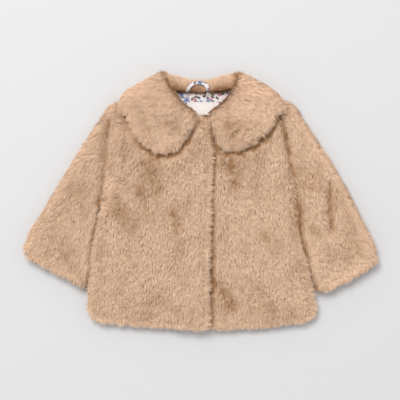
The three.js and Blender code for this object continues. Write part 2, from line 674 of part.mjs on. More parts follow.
// Printed lining where it shows inside the neck, from the neck seam down to the fronts
function makeLining() {
  const top = line([-46, 155.2], [-38, 153], [0, 151.2], [38, 153], [47, 155.2]);
  const bottom = line([-22, 119.5], [0, 118], [22, 118.5]);
  const rightSide = line([-22, 119.5], [-28.5, 126], [-34, 137], [-42.5, 148], [-46, 155.2]);
  const leftSide = line([22, 118.5], [28.6, 126], [35.5, 136], [44.5, 148], [47, 155.2]);
  const shares = ladder({ to: 1, count: 8 });
  const place = patch(bottom, top, rightSide, leftSide);
  const under = BACK_TOP + SEAM_GAP;
  return panel(place, shares, [0, 0.25, 0.5, 0.75, 1], () => under + LINING, () => under);
}

// Woven label, held by its upper edge. Its lower edge stands a little off the lining, in waves.
function makeLabel() {
  const under = BACK_TOP + SEAM_GAP + LINING + SEAM_GAP;
  const { left: start, right: end, top, bottom, thick, curl } = LABEL;
  const place = (u, v) => new THREE.Vector2(mix(start, end, u), mix(bottom, top, v));
  const bottomAt = (x, y) => under + curl * smooth(top, bottom, y) * (0.6 + 0.4 * Math.cos(x / 9));
  const topAt = (x, y) => bottomAt(x, y) + thick;
  return panel(place, ladder({ to: 1, count: 7 }), ladder({ to: 1, count: 5 }), topAt, bottomAt);
}

// Hanging loop: a strip of the printed cloth over the collar's roll, its ends on the lining
function makeLoop() {
  const rise = STAND_TOP + LOOP.clear;
  const rest = BACK_TOP + 2 * SEAM_GAP + LINING;
  const middle = new THREE.CatmullRomCurve3([
    new THREE.Vector3(-18.5, 147.5, rest),
    new THREE.Vector3(-18, 151, rest + 2.4),
    new THREE.Vector3(-16, 158, rise),
    new THREE.Vector3(-10, 163.6, rise),
    new THREE.Vector3(-1, 165, rise),
    new THREE.Vector3(6.6, 162.8, rise),
    new THREE.Vector3(10, 157, rise),
    new THREE.Vector3(10.6, 151, rest + 2.4),
    new THREE.Vector3(10.8, 147.5, rest),
  ]);
  const steps = 26;                            // along the strip
  const sheet = (up) => [-1, 1].map((side) => {
    const row = [];
    for (let i = 0; i <= steps; i += 1) {
      const point = middle.getPointAt(i / steps);
      const along = middle.getTangentAt(i / steps);
      const across = new THREE.Vector3(-along.y, along.x, 0).normalize();
      row.push(point.addScaledVector(across, (side * LOOP.width) / 2).add(new THREE.Vector3(0, 0, up)));
    }
    return row;
  });
  return slab(sheet(LOOP.thick), sheet(0));
}

const wasm = await Module();
wasm.setup();

const pieces = [
  { name: 'back', geometry: makeBack(), material: materials.fur },
  { name: 'front_left', geometry: makeFrontLeft(), material: materials.fur },
  { name: 'front_right', geometry: makeFrontRight(), material: materials.fur },
  { name: 'sleeve_right', geometry: makeSleeve(right, sleeveFolds.right, -1), material: materials.fur },
  { name: 'sleeve_left', geometry: makeSleeve(left, sleeveFolds.left, 1), material: materials.fur },
  { name: 'collar', geometry: makeCollar(wasm), material: materials.fur },
  { name: 'neck_lining', geometry: makeLining(), material: materials.print },
  { name: 'label', geometry: makeLabel(), material: materials.satin },
  { name: 'hanging_loop', geometry: makeLoop(), material: materials.print },
];

const coat = new THREE.Group();
coat.name = 'faux_fur_coat';
coat.position.set(-MIDDLE.x, -MIDDLE.y, 0);
for (const { name, geometry, material } of pieces) {
  const mesh = new THREE.Mesh(geometry, new THREE.MeshStandardMaterial(material));
  mesh.name = name;
  coat.add(mesh);
}

export default coat;
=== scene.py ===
"""A small child's faux fur coat laid flat on a table, front up, with its sleeves spread.

Sizes are in millimetres on the table, as the coat's maker would measure them, and become metres in
each mesh. The wearer's right is at -X, and +Y is toward the neck.
"""

import bpy
import numpy as np
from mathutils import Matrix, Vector


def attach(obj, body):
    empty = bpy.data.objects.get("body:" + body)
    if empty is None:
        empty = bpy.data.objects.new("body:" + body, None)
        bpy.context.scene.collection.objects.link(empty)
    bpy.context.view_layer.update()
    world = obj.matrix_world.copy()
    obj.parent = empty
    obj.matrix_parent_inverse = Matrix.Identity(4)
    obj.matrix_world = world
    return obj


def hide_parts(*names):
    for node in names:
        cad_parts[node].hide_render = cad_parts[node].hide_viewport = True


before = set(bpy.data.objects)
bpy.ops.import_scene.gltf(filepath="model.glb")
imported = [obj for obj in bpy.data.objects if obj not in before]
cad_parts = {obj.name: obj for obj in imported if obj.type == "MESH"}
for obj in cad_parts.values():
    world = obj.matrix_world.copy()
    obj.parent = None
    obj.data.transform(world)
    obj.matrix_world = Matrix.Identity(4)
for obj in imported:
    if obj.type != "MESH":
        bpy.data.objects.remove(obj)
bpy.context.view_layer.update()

# The table and how the coat is looked at: a pale board with a faint grain, one broad soft lamp at the
# upper left with weak light from all round, and a camera that looks straight down.
CAMERA_HEIGHT = 1.9
COAT_LEVEL = 0.017               # height of the surfaces that the picture is sized for
PICTURE_WIDTH = 0.560            # of the table, from the photograph's left edge to its right one
PICTURE_MIDDLE = (-0.0009, 0.0017)
SENSOR = 36.0
TABLE_SIZE = 6.0
TABLE_COLOUR = "#e0e0e1"
LAMP_PLACE = (-0.85, 1.65, 3.2)
LAMP_SIZE = 1.8
LAMP_POWER = 82.0
ROOM_LIGHT = 0.56


def colour(code):
    """A finish's colour, from the code of the colour as it looks to the linear values of a shader"""
    parts = [int(code[i:i + 2], 16) / 255 for i in (1, 3, 5)]
    return (*[p / 12.92 if p < 0.04045 else ((p + 0.055) / 1.055) ** 2.4 for p in parts], 1.0)


class Wire:
    """A socket of a node tree. Sums on it add the nodes that work them out."""

    def __init__(self, tree, socket=None):
        self.tree = tree
        self.socket = socket

    def add(self, kind, out=0, settings=None, values=None):
        """A node of that kind. Its settings are made first, then its sockets' values and links."""
        node = self.tree.nodes.new(kind)
        for name, value in (settings or {}).items():
            setattr(node, name, value)
        for name, value in (values or {}).items():
            if isinstance(value, Wire):
                self.tree.links.new(value.socket, node.inputs[name])
            else:
                node.inputs[name].default_value = value
        return Wire(self.tree, node.outputs[out])

    def output(self, name):
        return Wire(self.tree, self.socket.node.outputs[name])

    def maths(self, operation, *values, out=0):
        return self.add("ShaderNodeMath", out, {"operation": operation}, dict(enumerate(values)))

    def vector_maths(self, operation, *values, out=0):
        return self.add("ShaderNodeVectorMath", out, {"operation": operation}, dict(enumerate(values)))

    def worked_out(self, operation, first, second):
        directed = [isinstance(v, tuple) or isinstance(v, Wire) and v.socket.type in ("VECTOR", "RGBA")
                    for v in (first, second)]
        if not any(directed):
            return self.maths(operation, first, second)
        if operation == "MULTIPLY" and not all(directed):
            vector, number = (first, second) if directed[0] else (second, first)
            return self.add("ShaderNodeVectorMath", 0, {"operation": "SCALE"},
                            {"Vector": vector, "Scale": number})
        return self.vector_maths(operation, first, second)

    def __add__(self, other):
        return self.worked_out("ADD", self, other)

    __radd__ = __add__

    def __sub__(self, other):
        return self.worked_out("SUBTRACT", self, other)

    def __rsub__(self, other):
        return self.worked_out("SUBTRACT", other, self)

    def __mul__(self, other):
        return self.worked_out("MULTIPLY", self, other)

    __rmul__ = __mul__

    def between(self, low, high):
        """0 at low, 1 at high, eased at both ends"""
        return self.add("ShaderNodeMapRange", 0, {"interpolation_type": "SMOOTHSTEP"},
                        {"Value": self, "From Min": low, "From Max": high})

    def dyed(self, first, second, share):
        """A colour that goes from the first to the second as the share goes from 0 to 1"""
        return self.add("ShaderNodeMix", 2, {"data_type": "RGBA"}, {0: share, 6: first, 7: second})

    def attribute(self, name, out="Fac"):
        return self.add("ShaderNodeAttribute", out, {"attribute_name": name})

    def place(self):
        return self.add("ShaderNodeTexCoord", "Object")

    def cloudy(self, place, size, detail=2.0, out="Factor"):
        """Noise whose patches are about the given size in metres"""
        out = {"Factor": 0, "Colour": 1}[out]
        return self.add("ShaderNodeTexNoise", out, None,
                        {"Vector": place, "Scale": 1 / size, "Detail": detail})


def finish(name, **constants):
    """A new material with the given constant sockets. Returns it and the wire that its nodes start from."""
    material = bpy.data.materials.new(name)
    material.use_nodes = True
    shader = material.node_tree.nodes["Principled BSDF"]
    for socket, value in constants.items():
        shader.inputs[socket.replace("_", " ")].default_value = value
    return material, Wire(material.node_tree, shader.outputs[0])


def feed(wire, **inputs):
    """Links wires to the sockets of a material's shader"""
    shader = wire.socket.node
    for socket, value in inputs.items():
        wire.tree.links.new(value.socket, shader.inputs[socket.replace("_", " ")])


def raised(wire, height, distance, strength=1.0):
    """A bump of the given height in metres"""
    return wire.add("ShaderNodeBump", 0, None,
                    {"Height": height, "Distance": distance, "Strength": strength})


def into_scene(name, mesh):
    piece = bpy.data.objects.new(name, mesh)
    bpy.context.scene.collection.objects.link(piece)
    return piece


camera_data = bpy.data.cameras.new("camera")
camera_data.sensor_width = SENSOR
camera_data.lens = SENSOR * (CAMERA_HEIGHT - COAT_LEVEL) / PICTURE_WIDTH
camera = into_scene("camera", camera_data)
camera.location = (*PICTURE_MIDDLE, CAMERA_HEIGHT)
bpy.context.scene.camera = camera
bpy.context.scene.view_settings.view_transform = "Standard"

lamp_data = bpy.data.lights.new("soft_lamp", "AREA")
lamp_data.shape = "DISK"
lamp_data.size = LAMP_SIZE
lamp_data.energy = LAMP_POWER
lamp = into_scene("soft_lamp", lamp_data)
lamp.location = LAMP_PLACE
lamp.rotation_euler = (-Vector(LAMP_PLACE)).to_track_quat("-Z", "Y").to_euler()

world = bpy.data.worlds.new("room")
world.use_nodes = True
world.node_tree.nodes["Background"].inputs["Color"].default_value = (1.0, 1.0, 1.0, 1.0)
world.node_tree.nodes["Background"].inputs["Strength"].default_value = ROOM_LIGHT
bpy.context.scene.world = world

board, wire = finish("pale_board", Roughness=0.9, Specular_IOR_Level=0.1)
grain = wire.cloudy(wire.place(), 0.004)
feed(wire, Base_Color=wire.dyed(colour(TABLE_COLOUR), colour("#e6e6e7"), grain),
     Normal=raised(wire, grain, 0.00005, 0.2))
half = TABLE_SIZE / 2
table_mesh = bpy.data.meshes.new("table")
table_mesh.from_pydata([(-half, -half, 0), (half, -half, 0), (half, half, 0), (-half, half, 0)], [],
                       [(0, 1, 2, 3)])
table_mesh.materials.append(board)
table = into_scene("table", table_mesh)

# The back: one panel of fur cloth, pile out, from the hem to the neck and shoulder seams. It lies
# pile down on the table and carries everything else. Its pile is pressed flat by the coat's weight.
MM = 0.001
SHIFT = np.array([-0.2, 0.7, 0.0])          # from the table's sizes to the frame, whose middle is at 0
CLEAR = 0.4                                 # between pieces that lie on each other
FALL_TOP = 5.2                              # collar where it falls behind the back
BACK_TOP = 10.0
BACK_LIFT = 2.6                             # the back's cloth above the table, on its pressed pile
BACK_INSET = {"hem": 9.0, "armhole": 2.0}
SIDE_INSET = {"free": 9.0, "by_sleeve": 4.5, "from": -142.0, "to": -112.0}
FALL_MARGIN = 9.0
PRESS_REACH = 14.0
UNDERARM = 0.5                              # share of a panel's side that is side seam
ARMHOLE_END = 0.93                          # and that is side seam and armhole


def smooth_line(*points):
    """A smooth curve through points, as evenly spaced points"""
    given = np.array(points, float)
    last = len(given) - 1
    t = np.linspace(0, 1, 24, endpoint=False)[:, None]
    pieces = []
    for i in range(last):
        before, start, end, after = (given[np.clip(i + k, 0, last)] for k in (-1, 0, 1, 2))
        leaving, arriving = (end - before) / 2, (after - start) / 2
        pieces.append((2 * start - 2 * end + leaving + arriving) * t ** 3
                      + (3 * end - 3 * start - 2 * leaving - arriving) * t ** 2 + leaving * t + start)
    return evenly(np.vstack(pieces + [given[-1:]]))


def evenly(points, count=161):
    run = np.append(0, np.cumsum(np.linalg.norm(np.diff(points, axis=0), axis=1)))
    stops = np.linspace(0, run[-1], count)
    return np.stack([np.interp(stops, run, axis) for axis in points.T], axis=1)


def along(curve, shares):
    """Points of a curve at shares of its length"""
    steps = np.linspace(0, 1, len(curve))
    return np.stack([np.interp(shares, steps, axis) for axis in curve.T], axis=-1)


def chain(*rows):
    """Curves end to end as one, each over its own share of the whole"""
    ends = np.cumsum([0] + [share for _, share in rows])
    whole = np.linspace(0, 1, 401)
    which = np.clip(np.searchsorted(ends, whole, side="right") - 1, 0, len(rows) - 1)
    return np.array([along(rows[k][0], (u - ends[k]) / rows[k][1]) for k, u in zip(which, whole)])


def stretch(curve, start, end):
    return along(curve, np.linspace(start, end, len(curve)))


def moved(curve, distance):
    """A curve moved sideways: positive is to the left of its direction"""
    way = np.gradient(curve, axis=0)
    way /= np.linalg.norm(way, axis=1)[:, None]
    return evenly(curve + distance * np.stack([-way[:, 1], way[:, 0]], axis=1))


def patch(low, high, start, end, us, vs):
    """A grid of points on the surface between four curves. Start and end run from low to high."""
    u, v = us[None, :, None], vs[:, None, None]
    return ((1 - v) * along(low, us)[None] + v * along(high, us)[None]
            + (1 - u) * along(start, vs)[:, None] + u * along(end, vs)[:, None]
            - (1 - u) * (1 - v) * low[0] - u * (1 - v) * low[-1]
            - (1 - u) * v * high[0] - u * v * high[-1])


def rungs(*steps):
    """Where a grid has its lines, as shares of a side: each step divides the way up to its end"""
    lines = [0.0]
    for end, count in steps:
        lines += list(np.linspace(lines[-1], end, count + 1)[1:])
    return np.array(lines)


def eased(low, high, value):
    t = np.clip((value - low) / (high - low), 0, 1)
    return t * t * (3 - 2 * t)


def rounding(distance, reach):
    """A quarter of an ellipse: 0 at an edge, 1 from a distance of reach inward"""
    t = np.clip(distance / reach, 0, 1)
    return np.sqrt(1 - (1 - t) ** 2)


def mix(first, second, share):
    return first + (second - first) * share


def nearest(curve, points):
    """How far points are from a curve, which way is left of it there, and the way from it to them"""
    flat = points.reshape(-1, 1, 2)
    runs = np.diff(curve, axis=0)
    size = np.maximum((runs ** 2).sum(-1), 1e-9)
    t = np.clip(((flat - curve[:-1]) * runs).sum(-1) / size, 0, 1)
    away = flat - (curve[:-1] + t[..., None] * runs)
    distance = np.linalg.norm(away, axis=-1)
    closest = distance.argmin(axis=1)
    rows = np.arange(len(flat))
    way = runs[closest] / np.sqrt(size[closest])[:, None]
    left = np.stack([-way[:, 1], way[:, 0]], axis=1)
    shape = points.shape
    return (distance[rows, closest].reshape(shape[:-1]), left.reshape(shape),
            away[rows, closest].reshape(shape))


def distance_to(curve, points):
    return nearest(curve, points)[0]


def inward(curve, points):
    """How far points are from an edge, and the way in from it to the side that they are on"""
    distance, left, away = nearest(curve, points)
    return distance, np.sign((left * away).sum()) * left


def drawn_in(points, *edges):
    """Points of a panel drawn in from its edges, each by its own inset, to leave room for the pile.
    A corner is drawn in no further than the edges beside it."""
    total = np.zeros_like(points)
    most = np.zeros(points.shape[:-1])
    for curve, inset in edges:
        distance, way = inward(curve, points)
        amount = inset * (1 - eased(0, 5 * inset + 6, distance))
        total += amount[..., None] * way
        most = np.maximum(most, amount)
    size = np.maximum(np.linalg.norm(total, axis=-1), 1e-9)
    shorter = np.minimum(1, most / size) ** 1.3
    return points + total * shorter[..., None]


def side_inset(points):
    """A body side's inset: the full one below the cuffs, less where a sleeve lies beside it"""
    return mix(SIDE_INSET["free"], SIDE_INSET["by_sleeve"],
               eased(SIDE_INSET["from"], SIDE_INSET["to"], points[..., 1]))


def turned_out(nap, points, *edges):
    """The pile's way, turned out over edges. A row has an edge, its reach and how far the pile turns."""
    for curve, reach, share in edges:
        distance, way = inward(curve, points)
        amount = share * (1 - eased(reach / 3, reach, distance))
        nap[..., :2] = mix(nap[..., :2], -way, amount[..., None])
    return nap


def combed(plan, aside):
    """The pile's way on a body panel: toward the hem and a little aside"""
    nap = np.zeros((*plan.shape[:-1], 3))
    nap[..., :2] = (aside, -1)
    return nap


def is_inside(outline, points):
    x, y = points[..., 0, None], points[..., 1, None]
    start, end = outline, np.roll(outline, 1, axis=0)
    crosses = (start[:, 1] > y) != (end[:, 1] > y)
    rise = np.where(end[:, 1] == start[:, 1], 1e-9, end[:, 1] - start[:, 1])
    at = start[:, 0] + (end[:, 0] - start[:, 0]) * (y - start[:, 1]) / rise
    return (crosses & (x < at)).sum(-1) % 2 == 1


def distance_outside(outline, points):
    """How far points are from an outline, and 0 inside it"""
    ring = np.vstack([outline, outline[:1]])
    return np.where(is_inside(outline, points), 0, distance_to(ring, points))


def pressed_by(outline, points, margin):
    """1 where a piece with this outline presses the pile, 0 where the pile is free"""
    return 1 - eased(margin, margin + PRESS_REACH, distance_outside(outline, points))


def depth_of_folds(rows):
    """How deep the soft troughs are. A row runs from (x, y) to (to_x, to_y), bent beside its middle."""
    def depth(points):
        total = np.zeros(points.shape[:-1])
        for x, y, to_x, to_y, bend, deep, wide in rows:
            way = np.array([to_x - x, to_y - y])
            middle = np.array([x, y]) + way / 2 + np.array([-way[1], way[0]]) / np.hypot(*way) * bend
            trough = smooth_line((x, y), middle, (to_x, to_y))[::10]
            total += deep * np.exp(-(distance_to(trough, points) / wide) ** 2)
        return total
    return depth


def edge_drop(points, *rows):
    """How much lower the pile is toward the edges. A row has an edge, its reach and its drop."""
    return np.max([drop * (1 - rounding(distance_to(curve, points), reach)) for curve, reach, drop in rows],
                  axis=0)


def raise_to(plan, height):
    return np.concatenate([plan, np.broadcast_to(height, plan.shape[:-1])[..., None]], axis=-1)


def shell(name, outer, inner, nap, marks, wraps=False):
    """A closed piece of cloth between two grids of points. Columns run on round a tube if it wraps.

    nap is the way of the pile on the grid, and marks are values of the two grids for the fur:
    grow (how dense), tall (how long), lay (how flat) and the colour mark (how deep in colour: brushed pile
    and painted shade, paler below 0, mostly as painted highlight).
    """
    rows, columns = outer.shape[:2]
    above = np.arange(rows * columns).reshape(rows, columns)
    if wraps:
        above = np.hstack([above, above[:, :1]])
    below = above + rows * columns

    def strip(first, second):
        return list(zip(first[:-1].tolist(), first[1:].tolist(), second[1:].tolist(), second[:-1].tolist()))

    faces = strip(below[0], above[0]) + strip(above[-1], below[-1])
    for r in range(rows - 1):
        faces += strip(above[r], above[r + 1]) + strip(below[r + 1], below[r])
    if not wraps:
        faces += strip(above[:, 0], below[:, 0]) + strip(below[:, -1], above[:, -1])

    points = np.concatenate([outer.reshape(-1, 3), inner.reshape(-1, 3)])
    corners = points[np.array(faces)]
    volume = sum(np.einsum("ij,ij->", corners[:, 0], np.cross(corners[:, a], corners[:, b]))
                 for a, b in ((1, 2), (2, 3)))
    if volume < 0:
        faces = [face[::-1] for face in faces]
    mesh = bpy.data.meshes.new(name)
    mesh.from_pydata((points + SHIFT) * MM, [], faces)
    mesh.shade_smooth()
    flow = np.concatenate([nap.reshape(-1, 3)] * 2)
    flow /= np.maximum(np.linalg.norm(flow, axis=1), 1e-9)[:, None]

    def keep(mark, kind, field, values):
        attribute = mesh.attributes.new(mark, kind, "POINT")
        attribute.data.foreach_set(field, values.astype(np.float32).ravel())

    keep("nap", "FLOAT_VECTOR", "vector", flow)
    for mark, both in marks.items():
        values = np.concatenate([np.broadcast_to(v, (rows, columns)).ravel() for v in both])
        keep(mark, "FLOAT", "value", values)
    return into_scene(name, mesh)


def fur_tree():
    """Fur on cloth: strands of three faces that lean with the nap and gather into soft tufts"""
    tree = bpy.data.node_groups.new("fur_on_cloth", "GeometryNodeTree")
    for name, kind in (("Cloth", "Geometry"), ("Density", "Float"), ("Length", "Float"), ("Width", "Float"),
                       ("Rise", "Float"), ("Tuft size", "Float"), ("Tuft pull", "Float"),
                       ("Swirl", "Float"), ("Seed", "Int"), ("Finish", "Material")):
        tree.interface.new_socket(name, in_out="INPUT", socket_type="NodeSocket" + kind)
    tree.interface.new_socket("Fur", in_out="OUTPUT", socket_type="NodeSocketGeometry")
    start = Wire(tree)
    given = start.add("NodeGroupInput")

    def named(name, kind="FLOAT"):
        return start.add("GeometryNodeInputNamedAttribute", 0, {"data_type": kind}, {"Name": name})

    def kept(geometry, name, value, kind="FLOAT_VECTOR"):
        return geometry.add("GeometryNodeStoreNamedAttribute", 0, {"data_type": kind, "domain": "POINT"},
                            {"Geometry": geometry, "Name": name, "Value": value})

    def chance(low, high, seed):
        return start.add("FunctionNodeRandomValue", 1, {"data_type": "FLOAT"},
                         {2: low, 3: high, "Seed": given.output("Seed") + seed})

    def unit(vector):
        return start.vector_maths("NORMALIZE", vector)

    def dot(first, second):
        return start.vector_maths("DOT_PRODUCT", first, second, out="Value")

    def flat(vector):
        return vector - up * dot(vector, up)

    roots = start.add("GeometryNodeDistributePointsOnFaces", 0, {"distribute_method": "RANDOM"},
                      {"Mesh": given.output("Cloth"), "Seed": given.output("Seed"),
                       "Density": named("grow") * given.output("Density")})
    up = roots.output("Normal")
    root = start.add("GeometryNodeInputPosition")
    broad = start.cloudy(root, 0.030, 1.0, "Colour") - (0.5, 0.5, 0.5)
    close = start.cloudy(root, 0.008, 2.0, "Colour") - (0.5, 0.5, 0.5)
    loose = start.add("FunctionNodeRandomValue", 0, {"data_type": "FLOAT_VECTOR"},
                      {0: (-1, -1, -1), 1: (1, 1, 1), "Seed": given.output("Seed") + 7})
    swirl = given.output("Swirl")
    flow = unit(flat(named("nap", "FLOAT_VECTOR") + broad * (swirl * 3.2) + close * (swirl * 1.8)
                     + loose * (swirl * 0.5)))
    length = given.output("Length") * named("tall") * chance(0.82, 1.06, 1)
    lay = named("lay")
    bumpy = 1 + dot(close, (1, 1, 0)) * 0.3
    rise = given.output("Rise") * (1 - lay * 0.8) * bumpy * chance(0.88, 1.08, 2)
    rise = start.maths("MINIMUM", rise, 0.96)
    run = start.maths("SQRT", 1 - rise * rise) * 0.9
    tuft = start.add("ShaderNodeTexVoronoi", "Position", {"feature": "F1"},
                     {"Vector": root, "Scale": start.maths("DIVIDE", 1.0, given.output("Tuft size"))})
    looser = 1 - named("grow").between(1.0, 1.5) * 0.7
    gather = flat(tuft - root) * given.output("Tuft pull") * looser
    uneven = dot(tuft.output("Color"), (1, 0, 0))
    length = length * (uneven * 0.34 + 0.8)
    way = unit(up * rise + flow * run)
    facing = unit(up - way * dot(up, way))
    across = unit(start.vector_maths("CROSS_PRODUCT", way, up) + up * chance(-0.35, 0.35, 3))

    points = kept(roots, "root", root)
    points = kept(points, "rise", up * (length * rise))
    points = kept(points, "run", flow * (length * run))
    points = kept(points, "gather", gather)
    points = kept(points, "across", across * (given.output("Width") * chance(0.4, 0.6, 4)))
    slope = start.add("ShaderNodeSeparateXYZ", "Z", None, {"Vector": up})
    skyward = start.add("ShaderNodeCombineXYZ", 0, None, {"Z": slope.between(-0.4, 0.3) * 0.6})
    points = kept(points, "facing", unit(up * 0.4 + facing * 0.4 + skyward))
    points = kept(points, "tint", chance(0, 1, 5), "FLOAT")

    strand = start.add("GeometryNodeMeshGrid", 0, None,
                       {"Size X": 2.0, "Size Y": 1.0, "Vertices X": 2, "Vertices Y": 3})
    spot = start.add("ShaderNodeSeparateXYZ", "X", None, {"Vector": root})
    strand = kept(strand, "along", spot.output("Y") + 0.5, "FLOAT")
    strand = kept(strand, "side", spot, "FLOAT")
    tip = start.maths("GREATER_THAN", named("along"), 0.75)
    pointed = start.add("ShaderNodeCombineXYZ", 0, None, {"X": spot * (1 - tip), "Y": spot.output("Y")})
    strand = start.add("GeometryNodeSetPosition", 0, None, {"Geometry": strand, "Position": pointed})
    strand = start.add("GeometryNodeMergeByDistance", 0, None, {"Geometry": strand})
    fur = start.add("GeometryNodeInstanceOnPoints", 0, None, {"Points": points, "Instance": strand})
    fur = start.add("GeometryNodeRealizeInstances", 0, None, {"Geometry": fur})

    t = named("along")
    vector = "FLOAT_VECTOR"
    place = (named("root", vector) + named("rise", vector) * (t * 1.6 - t * t * 0.6)
             + named("run", vector) * (t * 0.4 + t * t * 0.6) + named("gather", vector) * (t * t)
             + named("across", vector) * named("side"))
    split = start.add("ShaderNodeSeparateXYZ", "X", None, {"Vector": place})
    lifted = start.maths("MAXIMUM", split.output("Z"), 0.0004)
    place = start.add("ShaderNodeCombineXYZ", 0, None, {"X": split, "Y": split.output("Y"), "Z": lifted})
    fur = start.add("GeometryNodeSetPosition", 0, None, {"Geometry": fur, "Position": place})
    for name in ("root", "rise", "run", "gather", "across", "side", "nap", "grow", "tall", "lay"):
        fur = start.add("GeometryNodeRemoveAttribute", 0, None, {"Geometry": fur, "Name": name})
    fur = start.add("GeometryNodeSetMaterial", 0, None,
                    {"Geometry": fur, "Material": given.output("Finish")})
    end = tree.nodes.new("NodeGroupOutput")
    tree.links.new(fur.socket, end.inputs[0])
    return tree


def made_by(tree, piece, **inputs):
    """What a node tree makes of a piece's mesh, as a plain mesh without the modifier"""
    modifier = piece.modifiers.new(tree.name, "NODES")
    modifier.node_group = tree
    for item in tree.interface.items_tree:
        key = item.name.replace(" ", "_").lower()
        if item.in_out == "INPUT" and key in inputs:
            modifier[item.identifier] = inputs[key]
    graph = bpy.context.evaluated_depsgraph_get()
    mesh = bpy.data.meshes.new_from_object(piece.evaluated_get(graph), preserve_all_data_layers=True,
                                           depsgraph=graph)
    piece.modifiers.clear()
    return mesh


FUR_ON_CLOTH = fur_tree()
SEEDS = iter(range(11, 99, 4))


def grow_fur(name, cloth, density, length=11.5, width=0.62, rise=0.61, tuft_size=3.8, tuft_pull=0.43,
             swirl=0.32):
    """The fur of one piece of cloth. Density is in strands for each square millimetre."""
    piece = into_scene(name, cloth.data.copy())
    mesh = made_by(FUR_ON_CLOTH, piece, density=density / MM ** 2, length=length * MM, width=width * MM,
                   rise=rise, tuft_size=tuft_size * MM, tuft_pull=tuft_pull, swirl=swirl,
                   seed=next(SEEDS), finish=FUR)
    mesh.name = name
    piece.data = mesh
    facing = np.zeros(len(mesh.vertices) * 3, np.float32)
    mesh.attributes["facing"].data.foreach_get("vector", facing)
    mesh.attributes.remove(mesh.attributes["facing"])
    mesh.shade_smooth()
    mesh.normals_split_custom_set_from_vertices(facing.reshape(-1, 3))
    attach(piece, "root")
    return piece


# Long soft pile, light at the tips and deeper at the roots, dyed a warm beige. It is deeper still in broad
# patches and where the colour mark is above 0, which holds brushed pile and painted shade, and paler where
# that mark is below 0, which is mostly painted highlight.
FUR, wire = finish("beige_fur", Roughness=0.8, Specular_IOR_Level=0.25, Sheen_Weight=0.2,
                   Sheen_Roughness=0.45, Sheen_Tint=colour("#ffeedd"))
flecks = wire.cloudy(wire.place(), 0.0022, 2.0).between(0.3, 0.7)
pale = wire.maths("MAXIMUM", 0 - wire.attribute("wear_and_shade"), 0.0)
lightness = 0.785 + wire.attribute("tint") * 0.34 + flecks * 0.17 + pale * 0.36
toward_tip = wire.attribute("along").between(-0.15, 0.85)
strand_colour = wire.dyed(colour("#cb9f75"), colour("#eecfb2"), toward_tip)
brushed = wire.add("ShaderNodeVectorMath", 0, {"operation": "MULTIPLY"}, {0: wire.place(), 1: (1, 0.55, 1)})
patchy = wire.cloudy(wire.place(), 0.009, 3.0).between(0.3, 0.7)
broad = wire.cloudy(brushed, 0.022, 5.0).between(0.44, 0.68)
wear_and_shade = wire.attribute("wear_and_shade") * (0.45 + patchy * 1.1) + broad * 0.26
strand_colour = strand_colour * wire.dyed((1.0, 1.0, 1.0, 1.0), (0.55, 0.40, 0.26, 1.0), wear_and_shade)
feed(wire, Base_Color=strand_colour * lightness, Roughness=0.9 - wire.attribute("along") * 0.2)

# The knitted ground that the pile stands in, seen only between strands
GROUND, wire = finish("fur_ground", Specular_IOR_Level=0.1, Sheen_Weight=0.2, Sheen_Roughness=0.6)
fleece = wire.cloudy(wire.place(), 0.0015, 4.0)
feed(wire, Base_Color=wire.dyed(colour("#ab7f55"), colour("#cba279"), fleece), Roughness=0.8 + fleece * 0.2,
     Normal=raised(wire, fleece, 0.0006, 0.6))

hem = smooth_line((-158, -159), (-153, -165), (-142, -169.5), (-106, -176), (-34, -181.5), (12, -183),
                  (86, -180.5), (137, -173), (155, -167), (163, -159))
back_neck = smooth_line((-59, 170), (-52, 160), (-38, 154.5), (0, 152.5), (38, 154.5), (52, 160), (59, 170))
right = {
    "shoulder": smooth_line((-104.5, 134), (-97, 146), (-86, 155), (-59, 170)),
    "armhole": smooth_line((-106, 113), (-104.5, 88), (-107, 48), (-117.5, 16), (-137.5, -4)),
    "side": smooth_line((-137.5, -4), (-149, -51), (-156.5, -112), (-160, -146), (-158, -159)),
}
left = {
    "shoulder": smooth_line((107.5, 132), (98, 144), (84, 154), (59, 170)),
    "armhole": smooth_line((112, 110), (118, 78), (124.5, 47), (132, 21), (137, -3), (138, -19)),
    "side": smooth_line((138, -19), (137.5, -42), (142.5, -66), (150.5, -93), (157.5, -124), (164, -146),
                        (163, -159)),
}
back_roll = smooth_line((-57, 182), (-36, 175), (0, 167), (34, 175), (55, 182))
back_rim = smooth_line((-111.5, 141), (-70, 115), (0, 102), (72, 115), (116, 141))
back_folds = depth_of_folds([
    (-86, 62, -96, -28, 5, 2.6, 13), (92, 50, 106, -40, -5, 2.6, 13),
    (-30, -70, -44, -140, 4, 2.2, 12), (48, -84, 58, -146, -3, 2.2, 12),
])


def side_of(half):
    """A panel's side from the hem up: the side seam, the armhole and a short way on to the shoulder"""
    corner = evenly(np.array([half["armhole"][0], half["shoulder"][0]]))
    return chain((half["side"][::-1], UNDERARM), (half["armhole"][::-1], ARMHOLE_END - UNDERARM),
                 (corner, 1 - ARMHOLE_END))


